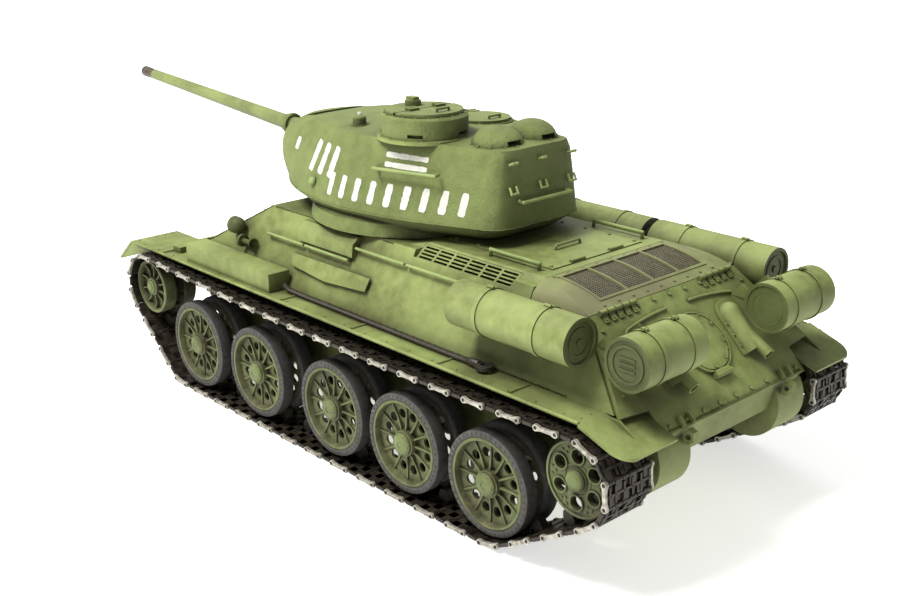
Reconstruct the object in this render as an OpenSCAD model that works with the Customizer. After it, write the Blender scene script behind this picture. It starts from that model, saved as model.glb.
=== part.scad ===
// Radio-controlled model tank, 1:16. Millimetres. +Z up, the gun points to -Y, the tank's left is +X.
// Hull places are measured from the middle of the road wheels (y = 0) and the ground (z = 0);
// placed() then moves everything so that the origin is under the middle of the whole model.

/* [Running gear] */
// Radius of a road wheel over its tyre
wheel_r = 25.7; // [25:0.1:26]
// Height of the road wheel axles above the ground
axle_z = 29; // [29:0.5:30]
// Radius of the circle on which the track pins run round sprocket and idler
pin_circle_r = 20; // [19.5:0.1:20.2]
// Target distance between two track pins
track_pitch = 10.9; // [10.6:0.1:11.2]
// Width of a track link
track_w = 31.2; // [30:0.2:31.6]
// Thickness of a track link's plate
link_t = 2.6; // [2:0.1:2.6]
// Outer edge of the track, from the middle plane
track_out_x = 93; // [93:0.2:94]
// How far the top run of the track sags
track_sag = 4; // [2:0.5:5]

/* [Hull] */
// Half width of the lower hull between the tracks
tub_x = 53; // [50:0.5:53]
// Height of the belly above the ground
belly_z = 22; // [20:0.5:24]
// Half width of the deck
deck_x = 50.8; // [50.5:0.1:51.5]
// Height of the deck
deck_z = 113; // [112.8:0.1:113.2]
// Half width of the hull where its sides meet the fenders
sill_x = 70.2; // [69:0.2:71]
// Top of the fenders
fender_z = 76.4; // [76:0.1:76.6]
// Half width over the fenders
fender_x = 86; // [84:0.5:88]
// Thickness of the hull's shells
wall = 2.4; // [2:0.1:3]

/* [Turret] */
// Place of the turret's axis, behind the middle of the road wheels
turret_y = -25; // [-25:0.5:-24]
// Radius of the turret's collar
collar_r = 59; // [58:0.5:60]
// Height of the turret's widest edge
lip_z = 125.5; // [125:0.25:126]
// Height of the turret's roof
roof_z = 163.4; // [163:0.2:164]
// Radius of the commander's cupola
cupola_r = 22.6; // [21:0.2:23]

/* [Gun] */
// Angle at which the gun rests above the horizontal
gun_angle = 4.5; // [3:0.5:6]
// Distance from the trunnion to the muzzle
gun_length = 220.7; // [200:0.1:221]
// Radius of the barrel at its root
barrel_root_r = 4.8; // [4.4:0.1:5.2]
// Radius of the barrel at the muzzle
barrel_tip_r = 3.3; // [3:0.1:3.6]

/* [Hidden] */
$fn = 48;

paint = "#96af5f";
paint_dark = "#6f8748";
steel = "#8c8c88";
track_brown = "#3a3028";
rubber = "#2a2a2a";
plastic = "#d8d4c4";

// Middle of the whole model along y, seen from the middle of the road wheels
muzzle_y = -315;
flap_y = 197.8;
datum_y = -(muzzle_y + flap_y) / 2;

// Running gear
wheel_y = [-122.7, -62.6, 4.7, 61.5, 119.2];
track_x = track_out_x - track_w / 2;
wheel_w = 21.6;
horn_gap = 6.2;
tyre_w = (wheel_w - horn_gap) / 2;
wheel_in_x = track_x - wheel_w / 2;
wheel_out_x = track_x + wheel_w / 2;
tyre_t = 3.7;
rim_r = wheel_r - tyre_t;
axle_r = 2;
// A swing arm's pivot, seen from its wheel's axle
arm_dy = -17;
arm_dz = 12;
fit = 0.35;
sprocket = [172.2, 51];
idler = [-172, 53];
disc_r = 17.4;
idler_r = 16.5;
horn_h = 7.2;
pin_z = link_t / 2;

// Hull
fender_t = 1.4;
side_slope = (sill_x - deck_x) / (deck_z - fender_z);
nose = [-178, 62];
glacis_top = [-91, deck_z];
rear_top = [147.6, 108.4];
rear_low = [191.3, 66];
rear_angle = atan2(rear_top[1] - rear_low[1], rear_low[0] - rear_top[0]);
rear_len = norm(rear_low - rear_top);
glacis_angle = atan2(glacis_top[1] - nose[1], glacis_top[0] - nose[0]);
ring_hole_r = 50;
engine_y = [26, 111];
engine_z = 115.6;
engine_x = 41;
drum_axis = [182, 100.5];
drum_r = 12;
tank_axis = [72.6, 104.6];
tank_r = 11.1;
hatch_hinge = [20, -104, 105.4];

// Gears: teeth, module
motor_teeth = 14;
wheel_teeth = 42;
motor_module = 0.5;
drive_module = 0.7;
ring_teeth = 96;
ring_module = 1;
sector_teeth = 70;
sector_module = 0.6;
gear_shaft = [sprocket[0] - (motor_teeth + wheel_teeth) * drive_module / 2, sprocket[1]];
motor_shaft = [gear_shaft[0] - (motor_teeth + wheel_teeth) * motor_module / 2, gear_shaft[1]];
traverse_y = turret_y + (ring_teeth + motor_teeth) * ring_module / 2;

// Turret
collar_z = deck_z + 0.6;
trunnion = [-95, 142];
slot_x = 20.4;
elevation_y = trunnion[0] + (sector_teeth + motor_teeth) * sector_module / 2;
cupola_at = [23.5, 8];
cupola_h = 13.2;
loader_at = [-24, 2];
loader_r = 16.5;

// ---------- helpers ----------
module placed() { translate([0, datum_y, 0]) children(); }
module both() { children(); mirror([1, 0, 0]) children(); }
// Draws in the (y, z) plane and extrudes from x0 to x1
module along_x(x0, x1) { translate([x0, 0, 0]) rotate([90, 0, 90]) linear_extrude(x1 - x0) children(); }
module spin_x(y, z) { translate([0, y, z]) rotate([0, 90, 0]) children(); }
module rod_x(x0, x1, y, z, r) { translate([x0, y, z]) rotate([0, 90, 0]) cylinder(r = r, h = x1 - x0); }
module box(lo, hi) { translate(lo) cube(hi - lo); }
// A straight round rod between two points, with round ends
module rod(a, b, r) {
    d = b - a;
    translate(a) rotate([0, acos(d[2] / norm(d)), atan2(d[1], d[0])]) cylinder(r = r, h = norm(d), $fn = 16);
    for (p = [a, b]) translate(p) sphere(r = r * 1.12, $fn = 16);
}
// A rail of three rods standing on two feet
module rail(a, b, rise, r) {
    union() {
        rod_open(a, a + rise, r);
        rod(a + rise, b + rise, r);
        rod_open(b, b + rise, r);
    }
}
module rod_open(a, b, r) {
    d = b - a;
    translate(a) rotate([0, acos(d[2] / norm(d)), atan2(d[1], d[0])]) cylinder(r = r, h = norm(d), $fn = 16);
}

// ---------- gears ----------
function inv(a) = tan(a) * 180 / PI - a;
function gear_tooth(n, m, play) = let (
        r = n * m / 2, rb = r * cos(20), ra = r + 0.8 * m, rr = r - 1.1 * m,
        half = 90 / n - play / (4 * r) * 180 / PI, lo = max(rb, rr), steps = 4,
        flank = [for (i = [0:steps]) let (q = lo + (ra - lo) * i / steps) [q, half + inv(20) - inv(acos(rb / q))]]
    ) concat([[rr, flank[0][1]]], flank);
function gear_outline(n, m, play = 0.2) = let (t = gear_tooth(n, m, play), k = len(t) - 1) [
        for (i = [0:n - 1], side = [-1, 1], j = [0:k])
            let (q = side < 0 ? t[j] : t[k - j], a = 360 * i / n + side * q[1]) q[0] * [cos(a), sin(a)]
    ];
// A spur gear in the plane, a tooth pointing along angle at
module gear2d(n, m, at = 0, bore = 0) {
    difference() {
        rotate(at) polygon(gear_outline(n, m));
        if (bore > 0) circle(r = bore);
    }
}

// ---------- track path: a belt round four circles, with a sagging top run ----------
belt = [
    [sprocket[0], sprocket[1], pin_circle_r],
    [wheel_y[4], axle_z, axle_z - pin_z],
    [-138.7, pin_z + 12, 12],
    [idler[0], idler[1], pin_circle_r]
];
// Direction of the outward normal of the tangent from circle i to the next one, going clockwise
function belt_normal(i) = let (a = belt[i], b = belt[(i + 1) % 4], d = norm([b[0] - a[0], b[1] - a[1]]))
    atan2(b[1] - a[1], b[0] - a[0]) + acos((a[2] - b[2]) / d);
function wrap(a) = a < 0 ? wrap(a + 360) : (a >= 360 ? wrap(a - 360) : a);
function belt_turn(i) = wrap(belt_normal((i + 3) % 4) - belt_normal(i));
function belt_arc(i) = belt[i][2] * belt_turn(i) * PI / 180;
function belt_line(i) = let (a = belt[i], b = belt[(i + 1) % 4], d = norm([b[0] - a[0], b[1] - a[1]]))
    sqrt(d * d - pow(a[2] - b[2], 2));
belt_runs = [for (i = [0:3]) each [belt_arc(i), belt_line(i)]];
function total(v, n) = n == 0 ? 0 : v[n - 1] + total(v, n - 1);
belt_len = total(belt_runs, 8);
link_count = 2 * round(belt_len / track_pitch / 2);
pitch = belt_len / link_count;
function on_circle(c, r, a) = [c[0] + r * cos(a), c[1] + r * sin(a)];
function belt_at(s, k = 0) = s > belt_runs[k] && k < 7 ? belt_at(s - belt_runs[k], k + 1) : let (
        i = floor(k / 2), a0 = belt_normal((i + 3) % 4), c = belt[i], t = s / belt_runs[k]
    ) k % 2 == 0 ? on_circle(c, c[2], a0 - belt_turn(i) * t) : let (
        n = belt_normal(i), p = on_circle(c, c[2], n), e = belt[(i + 1) % 4], q = on_circle(e, e[2], n)
    ) p + (q - p) * t - (i == 3 ? [0, 4 * track_sag * t * (1 - t)] : [0, 0]);
pins = [for (k = [0:link_count - 1]) belt_at(pitch * (k + 0.25))];

// One link between pins 0 and pitch on the local x axis, with the ground side towards -y
module link_plate(len, width) {
    gap = 0.35;
    chamfer = 0.75;
    h = link_t / 2;
    along_x(-width / 2, width / 2) polygon([
        [gap, -h], [len - gap, -h], [len - gap, 0], [len - gap - chamfer, h], [gap + chamfer, h], [gap, 0]
    ]);
}
module link_horn(len) {
    h = link_t / 2;
    along_x(-2.3, 2.3) polygon([
        [len / 2 - 3.6, h - 0.1], [len / 2 + 3.6, h - 0.1], [len / 2 + 1.6, h + horn_h], [len / 2 - 1.6, h + horn_h]
    ]);
}
module link_end(len, x0) {
    for (s = [0, len]) rod_x(x0, x0 + 1.5, s, 0, link_t / 2);
    along_x(x0, x0 + 1.5) polygon([[0, -0.9], [len, -0.9], [len, 0.9], [0, 0.9]]);
}
module link(k) {
    a = pins[k];
    b = pins[(k + 1) % link_count];
    horned = k % 2 == 0;
    len = norm(b - a);
    translate([0, a[0], a[1]]) rotate([atan2(b[1] - a[1], b[0] - a[0]) + 180, 0, 0]) mirror([0, 1, 0])
        union() {
            link_plate(len, track_w - 3.4);
            if (horned) {
                link_horn(len);
                for (x0 = [-track_w / 2, track_w / 2 - 1.5]) link_end(len, x0);
                for (x0 = [-track_w / 2 + 1.4, track_w / 2 - 1.9])
                    along_x(x0, x0 + 0.5) polygon([[2, -0.9], [len - 2, -0.9], [len - 2, 0.9], [2, 0.9]]);
            } else {
                for (x0 = [-track_w / 2 + 0.2, track_w / 2 - 1.9])
                    along_x(x0, x0 + 1.7) polygon([[2, -0.9], [len - 2, -0.9], [len - 2, 0.9], [2, 0.9]]);
            }
        }
}
module track() { color(track_brown) translate([track_x, 0, 0]) for (k = [0:link_count - 1]) link(k); }

// ---------- road wheels, idlers, sprockets ----------
// Half of a road wheel: a dished disc with a rim and a hub. face is +1 when the dish opens to +x
module disc_profile(r, w, hub_r) {
    polygon([
        [axle_r + fit, 0], [hub_r, 0], [hub_r, 1.2], [r - 1.8, 2.4], [r - 1.8, 0], [r, 0],
        [r, w], [r - 1.4, w], [r - 1.9, 4.2], [hub_r + 0.5, 3.4], [hub_r - 0.6, w - 1.2], [axle_r + fit, w - 1.2]
    ]);
}
module wheel_disc(r, w, hub_r, holes, hole_r, hole_at) {
    difference() {
        rotate([0, 90, 0]) rotate_extrude() disc_profile(r, w, hub_r);
        for (i = [0:holes - 1]) rotate([360 * (i + 0.5) / holes, 0, 0])
            translate([-1, 0, hole_at]) rotate([0, 90, 0]) cylinder(r = hole_r, h = 8);
    }
}
module tyre(x0) {
    translate([x0, 0, 0]) rotate([0, 90, 0]) rotate_extrude()
        polygon([[rim_r, 0], [wheel_r - 0.4, 0], [wheel_r, 0.6], [wheel_r, tyre_w - 0.6], [wheel_r - 0.4, tyre_w], [rim_r, tyre_w]]);
}
module hub_cap(x0, r, h) {
    translate([x0, 0, 0]) rotate([0, 90, 0]) rotate_extrude()
        polygon([[0, 0], [r, 0], [r, h * 0.35], [r * 0.86, h * 0.7], [r * 0.55, h * 0.95], [0, h]]);
}
module road_wheel(i) {
    translate([0, wheel_y[i], axle_z]) {
        color(paint) {
            union() {
                translate([wheel_out_x - tyre_w, 0, 0]) wheel_disc(rim_r, tyre_w, 6.2, 12, 2.5, 14.4);
                translate([wheel_in_x + tyre_w, 0, 0]) mirror([1, 0, 0]) wheel_disc(rim_r, tyre_w, 6.2, 12, 2.5, 14.4);
                difference() {
                    rod_x(wheel_in_x + tyre_w, wheel_out_x - tyre_w, 0, 0, 6);
                    rod_x(wheel_in_x, wheel_out_x, 0, 0, axle_r + fit);
                }
            }
            hub_cap(wheel_out_x - 1.2, 5.9, 2.9);
        }
        color(rubber) {
            tyre(wheel_out_x - tyre_w);
            tyre(wheel_in_x);
        }
    }
}
module idler_wheel() {
    translate([0, idler[0], idler[1]]) color(paint) {
        union() {
            translate([wheel_out_x - tyre_w, 0, 0]) wheel_disc(idler_r, tyre_w, 5, 10, 1.5, 9.5);
            translate([wheel_in_x + tyre_w, 0, 0]) mirror([1, 0, 0]) wheel_disc(idler_r, tyre_w, 5, 10, 1.5, 9.5);
            difference() {
                rod_x(wheel_in_x + tyre_w, wheel_out_x - tyre_w, 0, 0, 5);
                rod_x(wheel_in_x, wheel_out_x, 0, 0, axle_r + fit);
            }
        }
        hub_cap(wheel_out_x - 1.2, 4.4, 1.7);
    }
}
// Drive sprocket: two holed discs with six rollers between them, its shaft and the last gear of the drive
module drive_sprocket() {
    plate_t = 3;
    translate([0, sprocket[0], sprocket[1]]) {
        color(paint) {
            for (x0 = [wheel_out_x - plate_t - 1.6, wheel_in_x + 1.6]) difference() {
                union() {
                    rod_x(x0, x0 + plate_t, 0, 0, disc_r);
                    rod_x(x0 - 0.8, x0 + plate_t + 0.8, 0, 0, 5.5);
                }
                rod_x(x0 - 2, x0 + plate_t + 2, 0, 0, 3);
                for (i = [0:5]) rotate([60 * i, 0, 0]) translate([x0 - 1, 0, 10.8])
                    rotate([0, 90, 0]) cylinder(r = 3.1, h = plate_t + 2);
            }
            hub_cap(wheel_out_x - 0.8, 5, 3);
        }
        color(steel) {
            difference() {
                rod_x(37.4, wheel_out_x - 0.8, 0, 0, 3);
                rod_x(37, 37.9, 0, 0, 1);
            }
            for (i = [0:5]) rotate([60 * i + 30, 0, 0])
                rod_x(wheel_in_x + 1.6 + plate_t, wheel_out_x - plate_t - 1.6, 0, 7, 1.7);
        }
        color(plastic) along_x(38.5, 43) gear2d(wheel_teeth, drive_module, 180, 3);
    }
}

// ---------- drive train inside the hull ----------
module reduction_gear() {
    translate([0, gear_shaft[0], gear_shaft[1]]) {
        color(plastic) {
            along_x(33.6, 36.4) gear2d(wheel_teeth, motor_module, 180, 1.5);
            along_x(38, 43.6) gear2d(motor_teeth, drive_module, 180 / motor_teeth, 1.5);
        }
        color(steel) rod_x(29.9, 47.2, 0, 0, 1.5);
    }
}
module motor_pinion() {
    translate([0, motor_shaft[0], motor_shaft[1]]) {
        color("goldenrod") along_x(33, 37) gear2d(motor_teeth, motor_module, 180 / motor_teeth, 1);
        color(steel) rod_x(26, 38, 0, 0, 1);
    }
}
module gearbox_frame() {
    y0 = motor_shaft[0] - 11;
    y1 = sprocket[0];
    z0 = sprocket[1];
    color(plastic) difference() {
        union() {
            along_x(45, 47.4) frame_outline(y0, y1, z0);
            along_x(29.7, 31.7) frame_outline(y0, gear_shaft[0] + 4, z0);
            along_x(31.7, 45) polygon([[y0, z0 - 15.5], [y1 - 22, z0 - 15.5], [y1 - 22, z0 - 13.1], [y0, z0 - 13.1]]);
        }
        rod_x(44, 49, sprocket[0], sprocket[1], 3 + fit);
        rod_x(28, 49, gear_shaft[0], gear_shaft[1], 1.5 + fit);
        rod_x(28, 49, motor_shaft[0], motor_shaft[1], 2.6);
    }
}
module frame_outline(y0, y1, z0) {
    polygon([[y0, z0 - 15.5], [y1 - 22, z0 - 15.5], [y1, z0 - 7], [y1 + 4, z0 - 1.5], [y1 + 6, z0 + 5], [y1, z0 + 7], [y0, z0 + 12]]);
}
module drive_motor() {
    translate([0, motor_shaft[0], motor_shaft[1]]) {
        color(steel) difference() {
            rod_x(6, 29.6, 0, 0, 10.4);
            rod_x(25.6, 30, 0, 0, 1.4);
        }
        color(plastic) rod_x(4, 6, 0, 0, 8.6);
    }
}

// ---------- hull ----------
module tub_outline(inset = 0) {
    i = inset;
    polygon([
        [-146 + i * 0.9, belly_z + i], [150 - i * 0.9, belly_z + i], [185 - i * 1.4, 50],
        [188.5 - i, 64.9], [176.7 - i, fender_z], [-171 + i, fender_z],
        [nose[0] + i * 1.4, nose[1]], [-171 + i, 52]
    ]);
}
module lower_hull() {
    color(paint_dark) difference() {
        union() {
            along_x(-tub_x, tub_x) tub_outline();
            both() rod_x(34, tub_x + 2.6, sprocket[0], sprocket[1], 18.6);
        }
        along_x(-tub_x + wall, tub_x - wall) tub_outline(wall);
        box([-tub_x + wall, -150, fender_z - 1], [tub_x - wall, 176, fender_z + 5]);
        both() rod_x(tub_x - wall - 1, tub_x + 4, sprocket[0], sprocket[1], 3 + fit);
        both() rod_x(36.8, 44.6, sprocket[0], sprocket[1], 16.1);
        both() rod_x(tub_x - wall - 1, tub_x + 1, idler[0], idler[1], 3);
        for (y = wheel_y) both() rod_x(tub_x - wall - 1, tub_x + 1, y + arm_dy, axle_z + arm_dz, 3);
        box([-20, -62, belly_z - 1], [20, 6, belly_z + 5]);
        box([-3.2, 19, belly_z - 1], [3.2, 26, belly_z + 5]);
    }
    idler_axles();
}
module battery_door() {
    color(paint_dark) union() {
        box([-19.7, -61.7, belly_z], [19.7, 5.7, belly_z + 2.4]);
        box([-6, -66, belly_z + 2.5], [6, -61.7, belly_z + 3.9]);
        box([-6, -61.7, belly_z + 2.4], [6, -57, belly_z + 3.9]);
    }
}
// Cross-section of the upper hull, drawn in (x, z)
module hull_section(i) {
    polygon([
        [-sill_x + i, fender_z - 0.01], [-deck_x + i * 0.9, deck_z - i], [deck_x - i * 0.9, deck_z - i], [sill_x - i, fender_z - 0.01]
    ]);
}
module hull_side_view(i) {
    polygon([
        [nose[0] + 2 * i, nose[1]], [glacis_top[0] + i * 0.5, glacis_top[1] - i * 0.87],
        [glacis_top[0] + i * 0.5, deck_z + 5], [rear_top[0] - 4.6, deck_z + 5], [rear_top[0] - 4.6 - i, deck_z],
        [rear_top[0] - wall * 1.62 - i * 0.6, rear_top[1]], [rear_low[0] - wall * 1.62 - i, rear_low[1]]
    ]);
}
module hull_solid(i) {
    intersection() {
        along_x(-100, 100) hull_side_view(i);
        rotate([90, 0, 0]) translate([0, 0, -250]) linear_extrude(500) hull_section(i);
        box([-100, -250, fender_z], [100, 250, deck_z]);
    }
}
// Things on the glacis are drawn flat at its top edge: x across, y down the slope, z outwards
module on_glacis() {
    translate([0, glacis_top[0], glacis_top[1]]) rotate([glacis_angle, 0, 0]) mirror([0, 1, 0]) children();
}
// Things on the rear plate are drawn flat at its top edge: x across, y down the slope, z outwards
module on_rear() {
    translate([0, rear_top[0], rear_top[1]]) rotate([-rear_angle, 0, 0]) children();
}
module upper_hull() {
    color(paint) difference() {
        union() {
            hull_solid(0);
            ring_guards();
            engine_deck();
        }
        difference() {
            hull_solid(wall);
            box([-100, engine_y[1] + 34, deck_z - 12], [100, 200, deck_z]);
        }
        box([-tub_x + wall, -160, fender_z - 1], [tub_x - wall, 176, fender_z + 3]);
        translate([0, turret_y, deck_z - 6]) cylinder(r = ring_hole_r, h = 20, $fn = 96);
        box([-engine_x + 8, 36, deck_z - 6], [engine_x - 8, engine_y[1] - 4, deck_z + 10]);
        both() grille_opening();
        box([-engine_x + 3, engine_y[1] + 5, deck_z - 10], [engine_x - 3, rear_top[0] - 8, deck_z + 10]);
        on_glacis() box([hatch_hinge[0] - 15.4, 12.6, -wall - 4], [hatch_hinge[0] + 15.4, 43.4, 5]);
        box([-60, engine_y[1] + 1.05, deck_z - 6.35], [60, 200, 130]);
        translate([0, turret_y, deck_z + 0.1]) cylinder(r = collar_r + 0.7, h = 10, $fn = 96);
    }
}
module ring_guards() {
    both() intersection() {
        along_x(0, 62) polygon([[-57, 101.4], [-9.6, 101.4], [-9.6, 111.5], [-57, 111.5]]);
        rotate([90, 0, 0]) translate([0, 0, -100]) linear_extrude(200)
            polygon([[40, 90], [60, 100.2], [58.8, 108.4], [54.6, 111.5], [40, 111.5]]);
    }
}
// The raised engine deck behind the turret, with sloping shoulders for the side grilles
module engine_deck() {
    intersection() {
        rotate([90, 0, 0]) translate([0, 0, -150]) linear_extrude(300)
            polygon([[-54, 90], [-54, 107], [-engine_x - 2, engine_z], [engine_x + 2, engine_z], [54, 107], [54, 90]]);
        along_x(-80, 80) polygon([
            [engine_y[0] - 6, 100], [engine_y[0] - 6, deck_z - 0.2], [engine_y[0] + 8, engine_z], [engine_y[1] + 1, engine_z],
            [engine_y[1] + 1, 100]
        ]);
    }
}
module grille_opening() {
    translate([engine_x + 3.2, 0, engine_z - 0.6]) rotate([0, grille_tilt(), 0])
        box([0, 31, -7], [9.8, 99, 4]);
}
function grille_tilt() = atan2(engine_z - 107, 54 - engine_x - 2);
module side_grilles() {
    color(paint_dark) both() translate([engine_x + 3.2, 0, engine_z - 0.6]) rotate([0, grille_tilt(), 0]) difference() {
        box([0.2, 31.2, -2.4], [9.6, 98.8, -0.3]);
        for (i = [0:5], j = [0:3]) box([1.2 + 2.1 * j, 33 + 10.9 * i, -3], [2.4 + 2.1 * j, 42.4 + 10.9 * i, 1]);
    }
}
module engine_hatch() {
    w = engine_x - 8.3;
    color(paint) union() {
        box([-w, 36.3, deck_z - 0.6], [w, engine_y[1] - 4.3, engine_z + 0.5]);
        for (x = [-14, 14]) rod_x(x - 5, x + 5, engine_y[1] - 5.5, engine_z + 0.9, 0.9);
    }
}
// Arched cover over the fan and gearbox, with an opening for its wire mesh
module transmission_cover() {
    color(paint) difference() {
        cover_body(0);
        cover_body(wall);
        box([-38.4, cover_y0 + 4, deck_z - 10], [38.4, cover_y1 - 7, deck_z + 10]);
    }
    color("#5b5a3c") for (i = [0:3]) along_x(-38 + 19.1 * i, -38 + 19.1 * i + 18.7)
        polygon(concat(cover_arc(cover_y0 + 4.3, cover_y1 - 7.3, 0.9), [for (p = reversed(cover_arc(cover_y0 + 4.3, cover_y1 - 7.3, 1.7))) p]));
}
cover_y0 = engine_y[1] + 1.3;
cover_y1 = rear_top[0] - 0.5;
function reversed(v) = [for (i = [len(v) - 1:-1:0]) v[i]];
function cover_z(y) = engine_z - (engine_z - rear_top[1]) * pow((y - cover_y0) / (cover_y1 - cover_y0), 2);
function cover_arc(y0, y1, i) = [for (k = [0:6]) let (y = y0 + (y1 - y0) * k / 6) [y, cover_z(y) - i]];
// Its arched length and its rounded shoulders; i insets both
module cover_body(i) {
    intersection() {
        along_x(-60, 60) polygon(concat(
            [[cover_y1 - 1.7 - i, deck_z - 6 - 2 * i], [cover_y0 + i, deck_z - 6 - 2 * i]], cover_arc(cover_y0 + i, cover_y1 - i, i)
        ));
        rotate([90, 0, 0]) translate([0, 0, -200]) linear_extrude(400) polygon(concat(
            [[tub_x + 0.2 - i, 95]], shoulder(1, i), reversed(shoulder(-1, i)), [[-tub_x - 0.2 + i, 95]]
        ));
    }
}
function shoulder(s, i) = [for (k = [0:6]) [s * (42 + (tub_x + 0.2 - 42 - i) * cos(15 * k)), 105.6 + (engine_z - 105.6 - i) * sin(15 * k)]];
module rear_plate() {
    top_x = deck_x + side_slope * (deck_z - rear_top[1]);
    mid_s = (rear_top[1] - fender_z) / sin(rear_angle);
    color(paint) on_rear() difference() {
        linear_extrude_down(wall) polygon([
            [-top_x, 0], [top_x, 0], [sill_x, mid_s], [tub_x + 0.4, mid_s + 1.6], [tub_x + 0.4, rear_len],
            [-tub_x - 0.4, rear_len], [-tub_x - 0.4, mid_s + 1.6], [-sill_x, mid_s]
        ]);
        translate([0, 29.5, -5]) cylinder(r = 14.4, h = 10);
        both() translate([28.6, 36, -5]) cylinder(r = 2.9, h = 10);
    }
}
module linear_extrude_down(t) { translate([0, 0, -t]) linear_extrude(t) children(); }
module access_hatch() {
    color(paint) on_rear() translate([0, 29.5, 0.05]) union() {
        cylinder(r = 15.5, h = 1.1);
        translate([0, 0, -wall]) cylinder(r = 14, h = wall);
        translate([0, 0, 1]) cylinder(r = 14.2, h = 0.5);
        rod_x(-5, 5, 15.6, 1.3, 1.3);
        rail([-4, -8.5, 1.3], [4, -8.5, 1.3], [0, 0, 1.6], 0.6);
        for (i = [0:6]) rotate(40 + 43.3 * i) translate([0, -13, 1.4]) cylinder(r = 0.8, h = 0.8, $fn = 6);
    }
}
module exhausts() {
    both() on_rear() translate([28.6, 0, 0]) {
        color(paint) difference() {
            union() {
                translate([0, 0, 0.05]) linear_extrude(0.95) union() {
                    translate([0, 22]) circle(r = 8.4);
                    translate([-8.4, 22]) square([16.8, 20.6]);
                }
                translate([0, 22, 0]) sphere(r = 6);
                translate([0, 22, 0]) rotate([-90, 0, 0]) cylinder(r = 6, h = 20.6);
            }
            translate([0, 22, 0]) rotate([-90, 0, 0]) cylinder(r = 5, h = 21);
            box([-20, 0, -9], [20, 50, 0.05]);
        }
        color(paint_dark) translate([0, 33, 3]) rotate([-90 + 13, 0, 0]) difference() {
            cylinder(r = 2.9, h = 15.6);
            translate([0, 0, 6]) cylinder(r = 2.2, h = 12);
        }
    }
}
module fenders() {
    color(paint) both() union() {
        box([tub_x + 0.2, -190, fender_z - fender_t], [fender_x, 172, fender_z]);
        along_x(tub_x + 0.2, fender_x) polygon([
            [-190, fender_z], [-197, fender_z], [-213, 62.6], [-212, 61.8], [-196.4, fender_z - fender_t], [-190, fender_z - fender_t]
        ]);
        difference() {
            along_x(tub_x + 0.6, fender_x + 1.5) polygon([
                [172, fender_z], [flap_y, 67.6], [flap_y - 0.5, 66.3], [171.8, fender_z - fender_t]
            ]);
            difference() {
                box([fender_x - 8, flap_y - 9.5, 50], [fender_x + 5, flap_y + 5, 90]);
                translate([fender_x - 8, flap_y - 9.5, 40]) cylinder(r = 9.5, h = 60);
            }
        }
        along_x(sill_x + 0.2, sill_x + 1.4) polygon([[173, fender_z - 0.8], [180.6, fender_z - 0.8], [191.4, 69.4]]);
    }
}
module side_stowage() {
    color(paint) difference() {
        box([68.6, -137, fender_z], [82.6, -53.6, fender_z + 10.6]);
        translate([sill_x + 0.3, 0, fender_z]) rotate([0, -atan(side_slope), 0]) box([-30, -160, -5], [0, 0, 40]);
    }
    color(steel) box([71.8, -160, fender_z], [78, -152, fender_z + 3.6]);
    // Thin bracketed panel standing off the hull side
    color(paint) both_sides_panel();
}
module both_sides_panel() {
    translate([sill_x, 0, fender_z]) rotate([0, -atan(side_slope), 0]) union() {
        translate([1.2, 0, 0]) along_x(0, 1) polygon([[-59, 19.6], [8.6, 20], [8.1, 12.4], [-24.6, 10.2], [-54.4, 12.6]]);
        for (y = [-48, 0]) box([0.1, y, 14], [1.3, y + 3, 17]);
    }
}
module fuel_tank(y0, y1) {
    difference() {
        translate([tank_axis[0], 0, tank_axis[1]]) rotate([-90, 0, 0]) union() {
            translate([0, 0, y0]) cylinder(r = tank_r, h = y1 - y0);
            for (y = [y0 + 18, y1 - 20]) translate([0, 0, y]) cylinder(r = tank_r + 0.5, h = 2.4);
        }
        translate([tank_axis[0], y1 - 1.2, tank_axis[1]]) rotate([-90, 0, 0]) cylinder(r = tank_r - 1.6, h = 3);
    }
    for (y = [y0 + 18, y1 - 20]) side_clamp(y);
}
// A bracket that carries a tank on the sloping hull side
module side_clamp(y) {
    a = atan(side_slope);
    difference() {
        translate([sill_x, y + 0.2, fender_z]) rotate([0, -a, 0]) box([0.1, 0, 19], [9, 2, 31]);
        translate([tank_axis[0], y - 5, tank_axis[1]]) rotate([-90, 0, 0]) cylinder(r = tank_r + 0.5, h = 12);
    }
}
module fuel_tanks() {
    color(paint) {
        fuel_tank(87, 159.5);
        mirror([1, 0, 0]) fuel_tank(87, 159.5);
        mirror([1, 0, 0]) fuel_tank(6, 82);
    }
}
module smoke_drums() {
    color(paint) both() {
        difference() {
            union() {
                rod_x(30, 70, drum_axis[0], drum_axis[1], drum_r);
                for (x = [38, 58]) rod_x(x, x + 2, drum_axis[0], drum_axis[1], drum_r + 0.5);
            }
            for (x = [29, 69.4]) rod_x(x, x + 1.6, drum_axis[0], drum_axis[1], drum_r - 1.4);
        }
        for (x = [38, 58]) difference() {
            on_rear() box([x, 13, 0.05], [x + 2, 27, 9]);
            rod_x(x - 1, x + 3, drum_axis[0], drum_axis[1], drum_r + 0.5);
        }
    }
}
module headlamp() {
    c = [64, -109.5, 99.8];
    color(paint_dark) translate(c) rotate([90, 0, 0]) rotate_extrude() polygon([
        [0, -4.9], [1.9, -4.5], [3.5, -3.4], [4.6, -1.7], [4.9, 0], [4.9, 3.4], [4.2, 3.4], [4.2, 1.9], [0, 1.9]
    ]);
    color(paint_dark) box([62.7, c[1] - 1, 91.4], [64.7, c[1] + 1, 95.8]);
    color("#dfe6e4") translate(c) rotate([90, 0, 0]) translate([0, 0, 1.95]) cylinder(r = 4.15, h = 1);
}
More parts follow.
